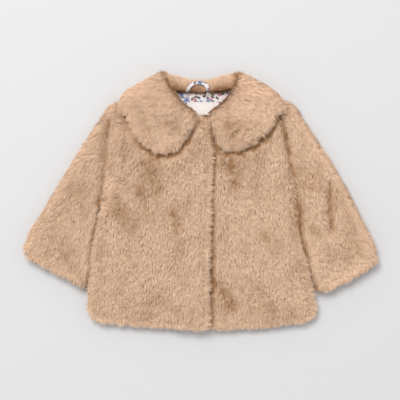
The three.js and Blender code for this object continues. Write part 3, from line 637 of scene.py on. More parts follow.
def make_back():
    top_edge = chain((right["shoulder"], 0.3), (back_neck, 0.4), (left["shoulder"][::-1], 0.3))
    across = rungs((0.03, 3), (0.97, 34), (1, 3))
    upward = rungs((0.03, 3), (0.97, 36), (1, 3))
    plan = patch(hem, top_edge, side_of(right), side_of(left), across, upward)
    over_fall = pressed_by(np.vstack([back_roll, back_rim[::-1]]), plan, FALL_MARGIN)
    drop = edge_drop(plan, (right["side"], 13, 1), (left["side"], 13, 1), (hem, 11, 1),
                     (right["armhole"], 7, 0.4), (left["armhole"], 7, 0.4))
    folds = back_folds(plan)
    bottom = np.maximum((FALL_TOP + CLEAR) * over_fall,
                        np.minimum(5.5 * drop + folds, BACK_TOP - 3) + BACK_LIFT * (1 - over_fall))
    bottom = np.minimum(bottom, BACK_TOP - 2.2)
    inner = drawn_in(plan, (right["side"], side_inset(plan)), (left["side"], side_inset(plan)),
                     (hem, BACK_INSET["hem"]), (right["armhole"], BACK_INSET["armhole"]),
                     (left["armhole"], BACK_INSET["armhole"]))
    rim = np.minimum.reduce([distance_to(c, plan) for c in (right["side"], left["side"], hem)])
    nap = turned_out(combed(plan, 0), plan, (right["side"], 12, 0.5), (left["side"], 12, 0.5))
    near_rim = 1 - eased(4, 16, rim)
    marks = {
        "grow": (near_rim * 0.5, (1 - over_fall) * mix(0.55, 2.2, near_rim)),
        "tall": (1, mix(1.15, 0.85, near_rim)),
        "lay": (0.3, mix(0.95, 0.25, near_rim)),
        # The lower face is deeper over the troughs: painted shade, partly the parted pile
        "wear_and_shade": (0, 0.15 * folds),
    }
    return shell("back_cloth", raise_to(inner, BACK_TOP), raise_to(inner, bottom), nap, marks)


back_cloth = make_back()
back_cloth.data.materials.append(GROUND)
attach(back_cloth, "root")
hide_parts("back")
back_fur = grow_fur("back_fur", back_cloth, density=0.42, width=0.8)

# The left front: fur cloth like the back's, sewn to it at the side and the shoulder. Its closing edge
# lies under the right front, where its pile is pressed.
UNDERLAP_TOP = 15.4
PRESSED_TOP = 19.4
FRONT_TOP = 23.5
OVERLAP_TOP = 29.0
PILE = 7.0                                  # how high the free pile stands over its cloth
PRESSED_AWAY = 0.55                         # share of that height that the collar presses away
CLOTH = 1.8                                 # the cloth's least thickness
NAP_ASIDE = 0.06                            # how far a front's pile leans to its side seam
UNDERLAP_END = (22, 35)                     # x where the left front comes out from under the right one
LAP_RISE = (-62, -14)                       # x where the right front rises to lie over the left one
LAP_FLOOR = (-41, -28)                      # and where its underside leaves the back
COLLAR_MARGIN = 3.0
FRONT_SHOULDER = 0.4                        # share of a front's upper edge that is shoulder
FRONT_INSET = {"hem": 9.0, "armhole": 0.5, "edge": 6.0, "neck": 2.0}

left["neck"] = smooth_line((59, 170), (48, 146), (38, 134), (31, 124), (24, 116), (4, 112), (-19, 103))
left["edge"] = smooth_line((-25, -182.1), (-24, -55), (-23, 57), (-19, 103))
collar_right = {
    "shoulder": smooth_line((-57, 182), (-78, 172), (-104, 156), (-112, 141)),
    "roll": smooth_line((-47.6, 169), (-40, 156), (-22, 134.5), (-4.5, 121)),
    "rim": smooth_line((-108.5, 126.5), (-93, 91), (-76, 74), (-54, 64), (-31, 71), (-15, 88), (-10, 97)),
    "tip": smooth_line((-4.5, 121), (-5, 108), (-10, 97)),
}
collar_left = {
    "shoulder": smooth_line((55, 182), (76, 173), (102, 157), (116, 141)),
    "roll": smooth_line((51.4, 166.3), (41, 149), (30, 136), (11, 121)),
    "rim": smooth_line((113, 127), (97, 97), (85, 86), (67, 73), (50, 69), (31, 71), (20, 81), (15, 95)),
    "tip": smooth_line((11, 121), (12, 108), (15, 95)),
}
outlines = [np.vstack([half["shoulder"], half["rim"], half["tip"][::-1], half["roll"][::-1]])
            for half in (collar_right, collar_left)]
front_folds = depth_of_folds([
    (-73, 34, -70, 20, 2, 2.2, 13), (-112, -6, -98, -32, 3, 2.6, 12), (-34, -8, -30, -36, 2, 1.8, 12),
    (-101, -113, -111, -130, 1, 2.4, 7), (34, -122, 56, -146, 3, 3.0, 10), (46, 46, 52, 30, 1, 2.0, 12),
    (92, -40, 108, -66, -3, 2.2, 12), (96, 60, 118, -20, -6, 2.4, 13),
])

# Spots of deeper colour where the pile has been brushed apart and its roots show, many along the creases,
# where they are also painted shade; below 0, paler spots, among them a painted highlight along the right
# front's side beside the sleeve
front_brushed_shade_and_light = depth_of_folds([
    (-76, 50, -64, 28, 2, 0.65, 12), (-84, 20, -76, -16, 2, 0.35, 10), (-112, -8, -98, -28, 3, 0.55, 11),
    (-36, -12, -30, -34, 1, 0.6, 6), (-14, 8, -12, 2, 0, 0.4, 4), (-60, -134, -30, -152, 1, 0.2, 11),
    (-92, -158, -70, -162, 2, 0.3, 6), (-8, -150, -6, -160, 0, 0.4, 5), (38, 58, 48, 34, 2, 0.6, 10),
    (22, -112, 43, -142, 3, 0.75, 8), (86, -40, 92, -52, 1, 0.35, 6), (72, -108, 80, -124, 1, 0.25, 9),
    (26, 60, 84, 62, -3, 0.25, 10), (128, 52, 136, -36, 2, 0.55, 8), (50, -148, 132, -156, 0, 0.22, 13),
    (-115, -124, -104, -146, 0, 0.2, 9), (4, 108, 12, 88, 0, -0.4, 7), (5, 84, 4, -176, 1, -0.34, 9),
    (-18, 62, -14, 26, 0, -0.25, 9), (-16, -60, -10, -116, 1, -0.2, 10), (-124, 24, -148, -60, 0, -0.25, 8),
    (-2, 80, 2, 50, 0, -0.3, 8), (7, -88, 7, -122, 0, -0.35, 6),
])


def under_collar(points):
    return np.maximum(*[pressed_by(outline, points, COLLAR_MARGIN) for outline in outlines])


def at_collar_rim(points, reach=7):
    """1 under the collar and at its rim, 0 from a little way out"""
    return np.maximum(*[1 - eased(0, reach, distance_outside(outline, points)) for outline in outlines])


def front_tone(plan, neck):
    """How deep the colour of a front is: brushed spots, a painted shadow under the collar's rim that is kept
    off the neck, and a painted highlight along the hem
    """
    # Painted shadow under the collar's rim: a broad soft band and a narrow deep one, weaker on the right
    # lobe's outer side, which faces the lamp
    rim = 0.3 * at_collar_rim(plan, 12) + 0.75 * at_collar_rim(plan, 4.5)
    rim *= eased(3, 12, distance_to(neck, plan)) * mix(0.35, 1, eased(-98, -66, plan[..., 0]))
    # Painted highlight along the hem
    return np.maximum(front_brushed_shade_and_light(plan), rim) - 0.25 * (1 - eased(2, 11, distance_to(hem, plan)))


def wall_tone(plan, side, *edges):
    """How deep the colour is on a front's edge faces: somewhat deeper all along, and deepest as painted
    shade beside the sleeve and along a closing edge
    """
    beside_sleeve = (1 - eased(2, 10, distance_to(side, plan))) * eased(-135, -112, plan[..., 1])
    at_edges = [1 - eased(2, 10, distance_to(edge, plan)) for edge in edges]
    return mix(0.3, 1.3, np.max([beside_sleeve, *at_edges], axis=0))


def hem_between(start, end):
    """The stretch of the hem between two values of x"""
    order = np.linspace(0, 1, len(hem))
    low, high = np.interp([start, end], hem[:, 0], order)
    return stretch(hem, low, high)


def hidden_under_collar(points):
    """1 well inside the collar's outline, where no pile is needed"""
    return np.maximum(*[is_inside(outline, points) * eased(8, 15, distance_to(outline, points))
                        for outline in outlines])


def make_front_left():
    top_edge = chain((left["neck"][::-1], 1 - FRONT_SHOULDER), (left["shoulder"][::-1], FRONT_SHOULDER))
    across = rungs((0.04, 2), (0.94, 34), (1, 4))
    upward = rungs((0.04, 4), (0.96, 46), (1, 3))
    plan = patch(hem_between(-25, 163), top_edge, left["edge"], side_of(left), across, upward)
    drop = edge_drop(plan, (left["side"], 14, 10), (hem, 13, 10), (left["armhole"], 8, 4.5),
                     (left["neck"], 8, 3))
    folds = front_folds(plan)
    pressed = under_collar(plan)
    free = mix(FRONT_TOP - folds, PRESSED_TOP, pressed)
    shown = eased(*UNDERLAP_END, plan[..., 0])
    full = np.minimum(free, FRONT_TOP - drop)
    top = mix(np.minimum(UNDERLAP_TOP - 1.5, full), full, shown)
    bottom = BACK_TOP + CLEAR
    pile = mix(1.0, PILE, shown) * (1 - PRESSED_AWAY * pressed)
    inner = drawn_in(plan, (left["side"], side_inset(plan)), (hem, FRONT_INSET["hem"]),
                     (left["armhole"], FRONT_INSET["armhole"]), (left["neck"], FRONT_INSET["neck"]))
    cloth = np.maximum(top - pile, bottom + CLOTH)
    rim = np.minimum.reduce([distance_to(c, plan) for c in (left["side"], hem)])
    nap = turned_out(combed(plan, NAP_ASIDE), plan, (left["side"], 12, 0.6), (left["neck"], 9, 1),
                     (stretch(left["armhole"], 0.6, 1), 12, 0.5))
    at_neck = 1 - eased(3, 9, distance_to(left["neck"], plan))
    rim_shadow = at_collar_rim(plan)
    seen = eased(14, 20, plan[..., 0]) * (1 - hidden_under_collar(plan))
    beside_lap = eased(15, 20, plan[..., 0])
    # Painted shadow of the right front's lapped edge on the left front, deepest toward the neck
    lap_shadow = mix(0.45, 0.95, eased(10, 45, plan[..., 1])) * (1 - eased(17, 25, plan[..., 0]))
    marks = {
        "grow": (seen * mix(1, 1.6, 1 - eased(3, 12, rim)), (1 - eased(2, 12, rim)) * 0.5 * seen),
        "tall": (mix(0.7, 1.1 - 0.1 * shown, beside_lap) * (1 - 0.2 * at_neck), 0.7),
        "lay": (mix(0.75 * rim_shadow * (1 - at_neck), 0.9, 1 - beside_lap), 0.3),
        "wear_and_shade": (front_tone(plan, left["neck"]) + lap_shadow,
                 wall_tone(plan, left["side"], left["armhole"])),
    }
    return shell("front_left_cloth", raise_to(inner, cloth), raise_to(inner, bottom), nap, marks)


front_left_cloth = make_front_left()
front_left_cloth.data.materials.append(GROUND)
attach(front_left_cloth, "root")
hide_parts("front_left")
front_left_fur = grow_fur("front_left_fur", front_left_cloth, density=1.35)

# The right front: the same cloth, lapped over the left one. Its closing edge is turned under, so the
# pile rolls round it and throws a soft shadow on the left front.
right["neck"] = smooth_line((-59, 170), (-46, 150), (-37, 138), (-31, 124), (-22, 118.5), (0, 118),
                            (15, 111.5))
right["edge"] = smooth_line((12, -183), (13.5, -60), (17.5, 60), (18, 90), (15, 111.5))


def make_front_right():
    top_edge = chain((right["shoulder"], FRONT_SHOULDER), (right["neck"], 1 - FRONT_SHOULDER))
    across = rungs((0.06, 4), (0.94, 34), (1, 4))
    upward = rungs((0.04, 4), (0.96, 46), (1, 3))
    plan = patch(hem_between(-158, 12), top_edge, side_of(right), right["edge"], across, upward)
    drop = edge_drop(plan, (right["side"], 14, 10), (hem, 13, 10), (right["armhole"], 8, 1.5),
                     (right["neck"], 8, 3), (right["edge"], 10, 7.5))
    under = edge_drop(plan, (right["edge"], 9, 3.6), (right["neck"], 6, 1.2), (hem, 9, 1.2))
    folds = front_folds(plan)
    pressed = under_collar(plan)
    free = mix(FRONT_TOP, OVERLAP_TOP, eased(*LAP_RISE, plan[..., 0]))
    top = np.minimum(mix(free - folds, PRESSED_TOP, pressed), free - drop)
    floor = mix(BACK_TOP, UNDERLAP_TOP, eased(*LAP_FLOOR, plan[..., 0]))
    bottom = floor + CLEAR + (1 - pressed) * under
    inner = drawn_in(plan, (right["side"], side_inset(plan)), (hem, FRONT_INSET["hem"]),
                     (right["armhole"], FRONT_INSET["armhole"]), (right["neck"], FRONT_INSET["neck"]),
                     (right["edge"], FRONT_INSET["edge"]))
    cloth = np.maximum(top - PILE * (1 - PRESSED_AWAY * pressed), bottom + CLOTH)
    rim = np.minimum.reduce([distance_to(c, plan) for c in (right["side"], hem, right["edge"])])
    nap = turned_out(combed(plan, -NAP_ASIDE), plan, (right["side"], 12, 0.6), (right["neck"], 9, 1),
                     (right["edge"], 10, 0.85), (right["armhole"], 30, 0.35),
                     (stretch(right["armhole"], 0.6, 1), 12, 0.7))
    at_neck = 1 - eased(3, 9, distance_to(right["neck"], plan))
    rim_shadow = at_collar_rim(plan)
    seen = 1 - hidden_under_collar(plan)
    marks = {
        "grow": (seen * mix(1, 1.6, 1 - eased(3, 12, rim)), (1 - eased(2, 12, rim)) * 0.5 * seen),
        "tall": (1 - 0.2 * at_neck, 0.7),
        "lay": (0.75 * rim_shadow * (1 - at_neck), 0.3),
        "wear_and_shade": (front_tone(plan, right["neck"]),
                 wall_tone(plan, right["side"], right["armhole"], right["edge"])),
    }
    return shell("front_right_cloth", raise_to(inner, cloth), raise_to(inner, bottom), nap, marks)


front_right_cloth = make_front_right()
front_right_cloth.data.materials.append(GROUND)
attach(front_right_cloth, "root")
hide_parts("front_right")
front_right_fur = grow_fur("front_right_fur", front_right_cloth, density=1.35)

# The sleeves: each one piece of fur cloth, folded along its outer edge and seamed along the inner one,
# set into the armhole. They lie flat with a thin hollow inside, open at the cuff.
SLEEVE_TOP = 24.0
SLEEVE_HOLLOW = 3.0
SLEEVE_WALL = 9.0
CAP_SHARE = 0.24                            # share of a sleeve's armhole end that is beside the collar
SEAM_TURN = 0.68                            # share of the armhole seam where that end stops
UNDER_SHARE = 0.24                          # the rest of the seam, as a share of the sleeve's inner edge
SLEEVE_INSET = {"fold": 6.0, "cuff": 9.5, "seam": 4.5}
SLEEVE_ROUND = {"fold": 14, "cuff": 9, "joint": 8}
SLEEVE_LIFT = 2.6

# Each sleeve's seam groove is painted deeper as shade by its own share, and its listed spots are deeper
# where the pile is brushed, partly painted shade, and paler below 0, partly painted highlight
right.update(
    sleeve_top=(-113.6, 140),
    outer=smooth_line((-113.6, 140), (-123.5, 137), (-133, 129), (-166, 79), (-212, 4), (-243, -49),
                      (-251, -64)),
    cuff=[(-251, -64), (-249, -74), (-238, -85.5), (-184, -115), (-168, -122.5)],
    cuff_on_side=0.772,
    away=-1,
    parted_from=0.62,
    parted_tone=0.6,
    joint=0.95,
    sleeve_folds=[(-130.5, 116, -139, -6, 2, 6.5, 6), (-176, 10, -206, -34, 4, 1.8, 13)],
    sleeve_brushed=depth_of_folds([(-122, 24, -122, 0, 0, -0.5, 8), (-190, -80, -176, -96, 0, 0.15, 12)]),
)
left.update(
    sleeve_top=(119, 140.5),
    outer=smooth_line((119, 140.5), (128.5, 137.5), (136, 129.5), (158, 96), (200, 29), (230, -30),
                      (248, -71), (251.4, -81)),
    cuff=[(251.4, -81), (249, -88), (237, -97.5), (208, -115), (178, -129)],
    cuff_on_side=0.77,
    away=1,
    parted_from=0.0,
    parted_tone=0.85,
    joint=0.6,
    sleeve_folds=[(184.5, 27, 184.5, -40, -4, 6, 6), (139, 44, 160, 36, 2, 3.5, 7),
                  (212, -44, 222, -72, 2, 1.6, 12)],
    sleeve_brushed=depth_of_folds([
        (134, 30, 170, 20, 2, 0.35, 10), (146, -30, 162, -40, 0, 0.3, 9), (176, -70, 200, -80, 0, 0.25, 11),
        (200, 4, 208, -14, 0, 0.25, 8), (192, -118, 226, -102, 0, -0.25, 10), (168, 78, 176, 62, 0, -0.1, 9),
    ]),
)


def make_sleeve(name, half):
    seam = moved(half["armhole"], 2 * CLEAR * half["away"])
    seamed = moved(half["side"], 2 * CLEAR * half["away"])
    cap = smooth_line(half["sleeve_top"], seam[0])
    armhole = chain((cap, CAP_SHARE), (stretch(seam, 0, SEAM_TURN), 1 - CAP_SHARE))
    inner_edge = chain((stretch(seam, SEAM_TURN, 1), UNDER_SHARE),
                       (stretch(seamed, 0, half["cuff_on_side"]), 1 - UNDER_SHARE))
    cuff = smooth_line(*half["cuff"], along(seamed, half["cuff_on_side"]))
    across = rungs((0.06, 4), (0.94, 22), (1, 4))
    down = rungs((0.03, 2), (0.95, 34), (1, 4))
    plan = patch(armhole, cuff, half["outer"], inner_edge, across, down)
    width = np.linalg.norm(plan[:, 0] - plan[:, -1], axis=1)
    inset = (SLEEVE_WALL / width)[:, None]
    folds = depth_of_folds(half["sleeve_folds"])
    middle = BACK_TOP + SLEEVE_HOLLOW / 2
    body_side = stretch(seamed, 0.04, 1)

    def heights(points):
        edge = np.minimum(distance_to(half["outer"], points), distance_to(seamed, points))
        round_edge = rounding(edge, SLEEVE_ROUND["fold"])
        at_cuff = rounding(distance_to(cuff, points) + 0.6, SLEEVE_ROUND["cuff"])
        to_joint = distance_to(half["armhole"], points)
        at_joint = mix(half["joint"], 1, rounding(to_joint, SLEEVE_ROUND["joint"]))
        depth = np.minimum(folds(points), 8)
        crest = mix(middle + 1.2, SLEEVE_TOP - PILE, round_edge) - depth * round_edge * 0.7
        crest = np.maximum(crest, middle + 1.4 * round_edge)
        wall = (middle + SLEEVE_HOLLOW / 2 + crest) / 2
        return {
            "top": mix(wall, crest, np.minimum(at_cuff, at_joint)),
            "bottom": mix(middle - 1.2, mix(BACK_TOP / 2 + 1, SLEEVE_LIFT, at_cuff), round_edge),
            "hollow_top": mix(wall - 0.6, np.minimum(middle + SLEEVE_HOLLOW / 2, crest - 1), at_cuff),
            "hollow_bottom": mix(BACK_TOP / 2 + 1.6, BACK_TOP - 1, at_cuff),
        }

    drawn = drawn_in(plan, (half["outer"], SLEEVE_INSET["fold"]), (cuff, SLEEVE_INSET["cuff"]),
                     (body_side, SLEEVE_INSET["seam"]))
    shares = inset + across * (1 - 2 * inset)
    inside_plan = np.stack([along(row, share) for row, share in zip(drawn, shares)])
    high, low = heights(plan), heights(np.stack([along(row, share) for row, share in zip(plan, shares)]))
    flip = slice(-2, 0, -1)

    def ring(points, top, bottom):
        level = np.concatenate([np.full((len(points), 1), middle), top[:, 1:-1],
                                np.full((len(points), 1), middle), bottom[:, flip]], axis=1)
        return raise_to(np.concatenate([points, points[:, flip]], axis=1), level)

    outside = ring(drawn, high["top"], high["bottom"])
    hollow = ring(inside_plan, low["hollow_top"], low["hollow_bottom"])
    nap = np.gradient(outside, axis=0)
    nap[..., 2] = 0
    whole = np.concatenate([plan, plan[:, flip]], axis=1)
    nap = turned_out(nap, whole, (half["outer"], 12, 0.5), (body_side, 10, 0.5),
                     (stretch(seam, 0.6, 1), 12, 0.6))
    columns = len(across)
    faces_up = np.concatenate([np.ones(columns), np.zeros(columns - 2)])[None]
    to_cuff = distance_to(cuff, whole)
    rim = np.minimum.reduce([to_cuff, distance_to(half["outer"], whole), distance_to(body_side, whole)])
    near_rim = 1 - eased(3, 14, rim)
    depth = np.minimum(folds(whole), 6) * faces_up
    parting = np.minimum(distance_to(body_side, whole),
                         distance_to(stretch(seam, half["parted_from"], 1), whole))
    parted = (1 - eased(0.5, 6.5, parting)) * faces_up
    marks = {
        "grow": (mix(mix(0.16, 0.9, near_rim), mix(1, 1.5, near_rim), faces_up),
                 (1 - eased(0, 8, to_cuff)) * 0.3),
        "tall": (1 - 0.09 * depth, 0.5),
        "lay": (mix(mix(0.95, 0.3, near_rim), np.maximum(0.08 * depth, 0.3 * parted), faces_up), 0.6),
        # Deeper as painted shade in the troughs and in the seam groove, where the parted pile's roots also
        # show; paler as a painted highlight along the rims on top
        "wear_and_shade": (0.08 * depth + half["parted_tone"] * parted + half["sleeve_brushed"](whole)
                 - 0.16 * near_rim * faces_up, 0.3),
    }
    return shell(name, outside, hollow, nap, marks, wraps=True)


for side, half, cut in (("right", right, (0.200, 0.225)), ("left", left, (0.200, 0.230))):
    cloth = make_sleeve(f"sleeve_{side}_cloth", half)
    cloth.data.materials.append(GROUND)
    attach(cloth, "root")
    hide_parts(f"sleeve_{side}")
    fur = grow_fur(f"sleeve_{side}_fur", cloth, density=1.5)

# The printed lining, seen only inside the neck: smooth thin cotton with small scattered blossoms in
# blue and pink, sprigs and dots, sewn into the neck seam.
LINING_LEVEL = BACK_TOP + CLEAR
LINING_THICK = 1.0
PRINT_GROUND = colour("#f4eff0")
FULL_TURN = 6.283
THREAD_PITCH = 0.0005


def printed_cotton():
    material, wire = finish("printed_cotton", Specular_IOR_Level=0.2, Sheen_Weight=0.1)
    place = wire.add("ShaderNodeVectorMath", 0, {"operation": "MULTIPLY"}, {0: wire.place(), 1: (1, 1, 0)})

    def blossoms(cell, offset, petals, radius, share):
        """1 on blossoms, sprigs or dots, one in a share of the cells of a jittered layout, and how far
        each point is from the middle of the nearest one"""
        moved_place = place + offset
        cells = wire.add("ShaderNodeTexVoronoi", "Position", {"voronoi_dimensions": "2D"},
                         {"Vector": moved_place, "Scale": 1 / cell, "Randomness": 0.75})
        local = moved_place - cells
        chance = wire.add("ShaderNodeSeparateColor", "Red", None, {"Color": cells.output("Color")})
        split = wire.add("ShaderNodeSeparateXYZ", "X", None, {"Vector": local})
        angle = wire.maths("ARCTAN2", split.output("Y"), split) + chance * FULL_TURN
        distance = wire.vector_maths("LENGTH", local, out="Value")
        wave = wire.maths("ABSOLUTE", wire.maths("COSINE", angle * (petals / 2)))
        reach = radius * (0.45 + wave * 0.55)
        inside = 1 - distance.between(reach - 0.0002, reach + 0.0002)
        kept = 1 - chance.between(share - 0.01, share + 0.01)
        return inside * kept, distance

    dots, _ = blossoms(0.0052, (0.013, 0.002, 0), 1.0, 0.0007, 0.8)
    sprigs, _ = blossoms(0.0064, (0.003, 0.004, 0), 2.0, 0.0026, 0.9)
    pink, pink_distance = blossoms(0.0115, (0.0005, 0.007, 0), 5.0, 0.0032, 0.8)
    blue, blue_distance = blossoms(0.0150, (0.0052, 0.0015, 0), 5.0, 0.0054, 0.95)
    shade = wire.cloudy(wire.place(), 0.002)
    colours = wire.dyed(PRINT_GROUND, colour("#6d7f86"), dots * 0.8)
    colours = wire.dyed(colours, wire.dyed(colour("#4c494c"), colour("#7d7a76"), shade), sprigs)
    colours = wire.dyed(colours, wire.dyed(colour("#c98f9a"), colour("#e3b9bd"), shade), pink)
    colours = wire.dyed(colours, colour("#a8606c"), pink * (1 - pink_distance.between(0.0006, 0.001)))
    colours = wire.dyed(colours, wire.dyed(colour("#8390b4"), colour("#a9b3cf"), shade), blue)
    colours = wire.dyed(colours, colour("#3d4a6b"), blue * (1 - blue_distance.between(0.0009, 0.0014)))
    split = wire.add("ShaderNodeSeparateXYZ", "X", None, {"Vector": wire.place()})
    warp = wire.maths("SINE", split * (FULL_TURN / THREAD_PITCH))
    weft = wire.maths("SINE", split.output("Y") * (FULL_TURN / THREAD_PITCH))
    weave = warp * weft
    feed(wire, Base_Color=colours * (0.97 + weave * 0.03), Roughness=0.82 + weave * 0.05,
         Normal=raised(wire, weave, 0.00006, 0.5))
    return material


PRINT = printed_cotton()


def make_lining():
    top = smooth_line((-46, 156.5), (-38, 154.6), (0, 152.8), (38, 154.6), (47, 156.5))
    bottom = smooth_line((-22, 121), (0, 120.6), (22, 120.8))
    right_side = smooth_line((-22, 121), (-28.5, 126), (-34, 137), (-42.5, 148), (-46, 156.5))
    left_side = smooth_line((22, 120.8), (28.6, 126), (35.5, 136), (44.5, 148), (47, 156.5))
    plan = patch(bottom, top, right_side, left_side, rungs((1, 28)), rungs((1, 14)))
    ripple = 0.25 * np.sin(plan[..., 0] / 7.0 + plan[..., 1] / 11.0) * eased(0, 8, 155 - plan[..., 1])
    level = LINING_LEVEL + LINING_THICK - 0.3 + ripple
    return shell("neck_lining_cloth", raise_to(plan, level), raise_to(plan, LINING_LEVEL),
                 np.zeros((*plan.shape[:-1], 3)), {})


lining = make_lining()
lining.data.materials.append(PRINT)
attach(lining, "root")
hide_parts("neck_lining")

# The label: a strip of cream satin ribbon, its ends turned under and sewn to the lining along its upper
# edge. It is left bare.
LABEL = {"left": -19.0, "right": 26.0, "top": 138.5, "bottom": 119.8, "thick": 1.0, "curl": 1.2}
LABEL_LEVEL = LINING_LEVEL + LINING_THICK + CLEAR

SATIN, wire = finish("cream_satin", Specular_IOR_Level=0.5, Sheen_Weight=0.3, Sheen_Roughness=0.3)
split = wire.add("ShaderNodeSeparateXYZ", "X", None, {"Vector": wire.place()})
ribs = wire.maths("SINE", split.output("Y") * (FULL_TURN / 0.0006))
faint = wire.cloudy(wire.place(), 0.006)
feed(wire, Base_Color=wire.dyed(colour("#efe7e3"), colour("#f8f1ee"), faint), Roughness=0.42 + faint * 0.12,
     Normal=raised(wire, ribs, 0.00004, 0.4))


def make_label():
    us, vs = rungs((1, 26)), rungs((0.12, 2), (0.88, 10), (1, 2))
    x = mix(LABEL["left"], LABEL["right"], us)[None].repeat(len(vs), 0)
    y = mix(LABEL["bottom"], LABEL["top"], vs)[:, None].repeat(len(us), 1)
    lift = LABEL["curl"] * (1 - eased(LABEL["bottom"], LABEL["top"], y)) * (0.6 + 0.4 * np.cos(x / 9))
    hemmed = 0.35 + 0.65 * (1 - eased(1.8, 2.4, np.minimum(x - LABEL["left"], LABEL["right"] - x)))
    plan = np.stack([x, y], axis=-1)
    return shell("label_ribbon", raise_to(plan, LABEL_LEVEL + lift + LABEL["thick"] * hemmed),
                 raise_to(plan, LABEL_LEVEL + lift), np.zeros((*plan.shape[:-1], 3)), {})


def stitch_tree():
    """Stitches in a row along a path, each a short rounded length of thread"""
    tree = bpy.data.node_groups.new("row_of_stitches", "GeometryNodeTree")
    for name, kind in (("Path", "Geometry"), ("Pitch", "Float"), ("Stitch", "Float"), ("Thread", "Float"),
                       ("Finish", "Material")):
        tree.interface.new_socket(name, in_out="INPUT", socket_type="NodeSocket" + kind)
    tree.interface.new_socket("Stitches", in_out="OUTPUT", socket_type="NodeSocketGeometry")
    start = Wire(tree)
    given = start.add("NodeGroupInput")
    path = start.add("GeometryNodeMeshToCurve", 0, None, {"Mesh": given.output("Path")})
    places = start.add("GeometryNodeCurveToPoints", 0, {"mode": "LENGTH"},
                       {"Curve": path, "Length": given.output("Pitch")})
    thread = start.add("GeometryNodeMeshUVSphere", 0, None, {"Segments": 6, "Rings": 4, "Radius": 0.5})
    size = start.add("ShaderNodeCombineXYZ", 0, None,
                     {"X": given.output("Thread"), "Y": given.output("Thread"), "Z": given.output("Stitch")})
    row = start.add("GeometryNodeInstanceOnPoints", 0, None,
                    {"Points": places, "Instance": thread, "Rotation": places.output("Rotation"),
                     "Scale": size})
    row = start.add("GeometryNodeRealizeInstances", 0, None, {"Geometry": row})
    row = start.add("GeometryNodeSetMaterial", 0, None,
                    {"Geometry": row, "Material": given.output("Finish")})
    end = tree.nodes.new("NodeGroupOutput")
    tree.links.new(row.socket, end.inputs[0])
    return tree


ROW_OF_STITCHES = stitch_tree()
THREAD, wire = finish("cream_thread", Specular_IOR_Level=0.3, Sheen_Weight=0.2)
twist = wire.cloudy(wire.place(), 0.0004)
feed(wire, Base_Color=wire.dyed(colour("#d9cabb"), colour("#efe5da"), twist), Roughness=0.6 + twist * 0.2)


def sew(name, paths, pitch=2.2, stitch=1.7, thread=0.34):
    """Rows of stitches along lists of points"""
    mesh = bpy.data.meshes.new(name)
    points, edges = [], []
    for path in paths:
        first = len(points)
        points += [tuple(p) for p in (np.asarray(path, float) + SHIFT) * MM]
        edges += [(i, i + 1) for i in range(first, len(points) - 1)]
    mesh.from_pydata(points, edges, [])
    piece = into_scene(name, mesh)
    piece.data = made_by(ROW_OF_STITCHES, piece, pitch=pitch * MM, stitch=stitch * MM, thread=thread * MM,
                         finish=THREAD)
    piece.data.shade_smooth()
    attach(piece, "root")
    return piece


label = make_label()
label.data.materials.append(SATIN)
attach(label, "root")
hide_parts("label")
stitch_level = LABEL_LEVEL + LABEL["thick"] * 0.35 + 0.12
stitch_places = np.linspace(LABEL["left"] + 1.2, LABEL["right"] - 1.2, 40)
label_stitches = sew("label_stitches", [[(x, LABEL["top"] - 1.6, stitch_level) for x in stitch_places]])

# The collar: one round piece of fur cloth, face and underside. It lies on the fronts, turns over each
# shoulder and falls behind the back. Behind the neck it stands up in a roll from the neck seam.
COLLAR_TOP = 34.0
SHOULDER_REACH = 12.0
SHOULDER_WALL = 8.5
SHOULDER_FLAT = 14                          # how far in from the shoulder the turn ends
EDGE_REACH = 9.0
COLLAR_INSET = {"rim": 9.0, "roll": 3.0, "tip": 1.5, "fall": 5.0}
STAND_TOP = 18.0
STAND_FOOT = 1.2
STAND_INSET = {"fold": 5.0, "seam": 2.0}
STAND_ROUND = {"fold": 7, "seam": 8}
# How far in from the shoulder and how high the outer and the inner face are, from front to back
SHOULDER_TURN = [
    (SHOULDER_REACH, COLLAR_TOP, SHOULDER_FLAT, PRESSED_TOP + CLEAR), (5.4, 31.2, 10.2, PRESSED_TOP),
    (1.4, 25.2, SHOULDER_WALL, 17), (0, 16.5, SHOULDER_WALL, 12.5), (1.6, 7.6, SHOULDER_WALL, 8),
    (5.6, 2, 10.2, FALL_TOP + CLEAR), (SHOULDER_REACH, 0, SHOULDER_FLAT, FALL_TOP),
]
collar_right.update(turn_at_roll=(0.59, -0.81), turn_at_rim=(0.2, -0.98))
collar_left.update(turn_at_roll=(-0.22, -0.98), turn_at_rim=(-0.19, -0.98))
collar_folds = depth_of_folds([
    (33, 101, 49, 106, 2, 2.6, 6), (51, 104, 69, 109, -2, 2.2, 7), (-28, 126, -34, 106, 2, 2.0, 10),
    (-84, 124, -72, 104, 2, 1.6, 12),
])
COLLAR_ROWS = rungs((0.06, 3), (0.94, 16), (1, 3))
# Spots where the collar's pile is brushed deeper, partly painted shade on the sides turned from the light,
# and paler spots below 0, a painted highlight where it is turned to the light
collar_brushed_shade_and_light = depth_of_folds([
    (-100, 148, -78, 162, 0, -0.22, 12), (-52, 118, -26, 104, 0, 0.3, 9), (52, 168, 84, 156, 0, -0.28, 13),
    (30, 96, 84, 90, -4, 0.26, 12), (100, 108, 108, 120, 0, 0.45, 8), (-80, 108, -66, 92, 0, 0.15, 10),
    (28, 112, 60, 110, 2, 0.35, 9),
])


def in_from_shoulder(half, distance):
    way = mix(np.array(half["turn_at_roll"]), np.array(half["turn_at_rim"]), COLLAR_ROWS[:, None])
    way /= np.linalg.norm(way, axis=1)[:, None]
    return along(half["shoulder"], COLLAR_ROWS) + way * distance


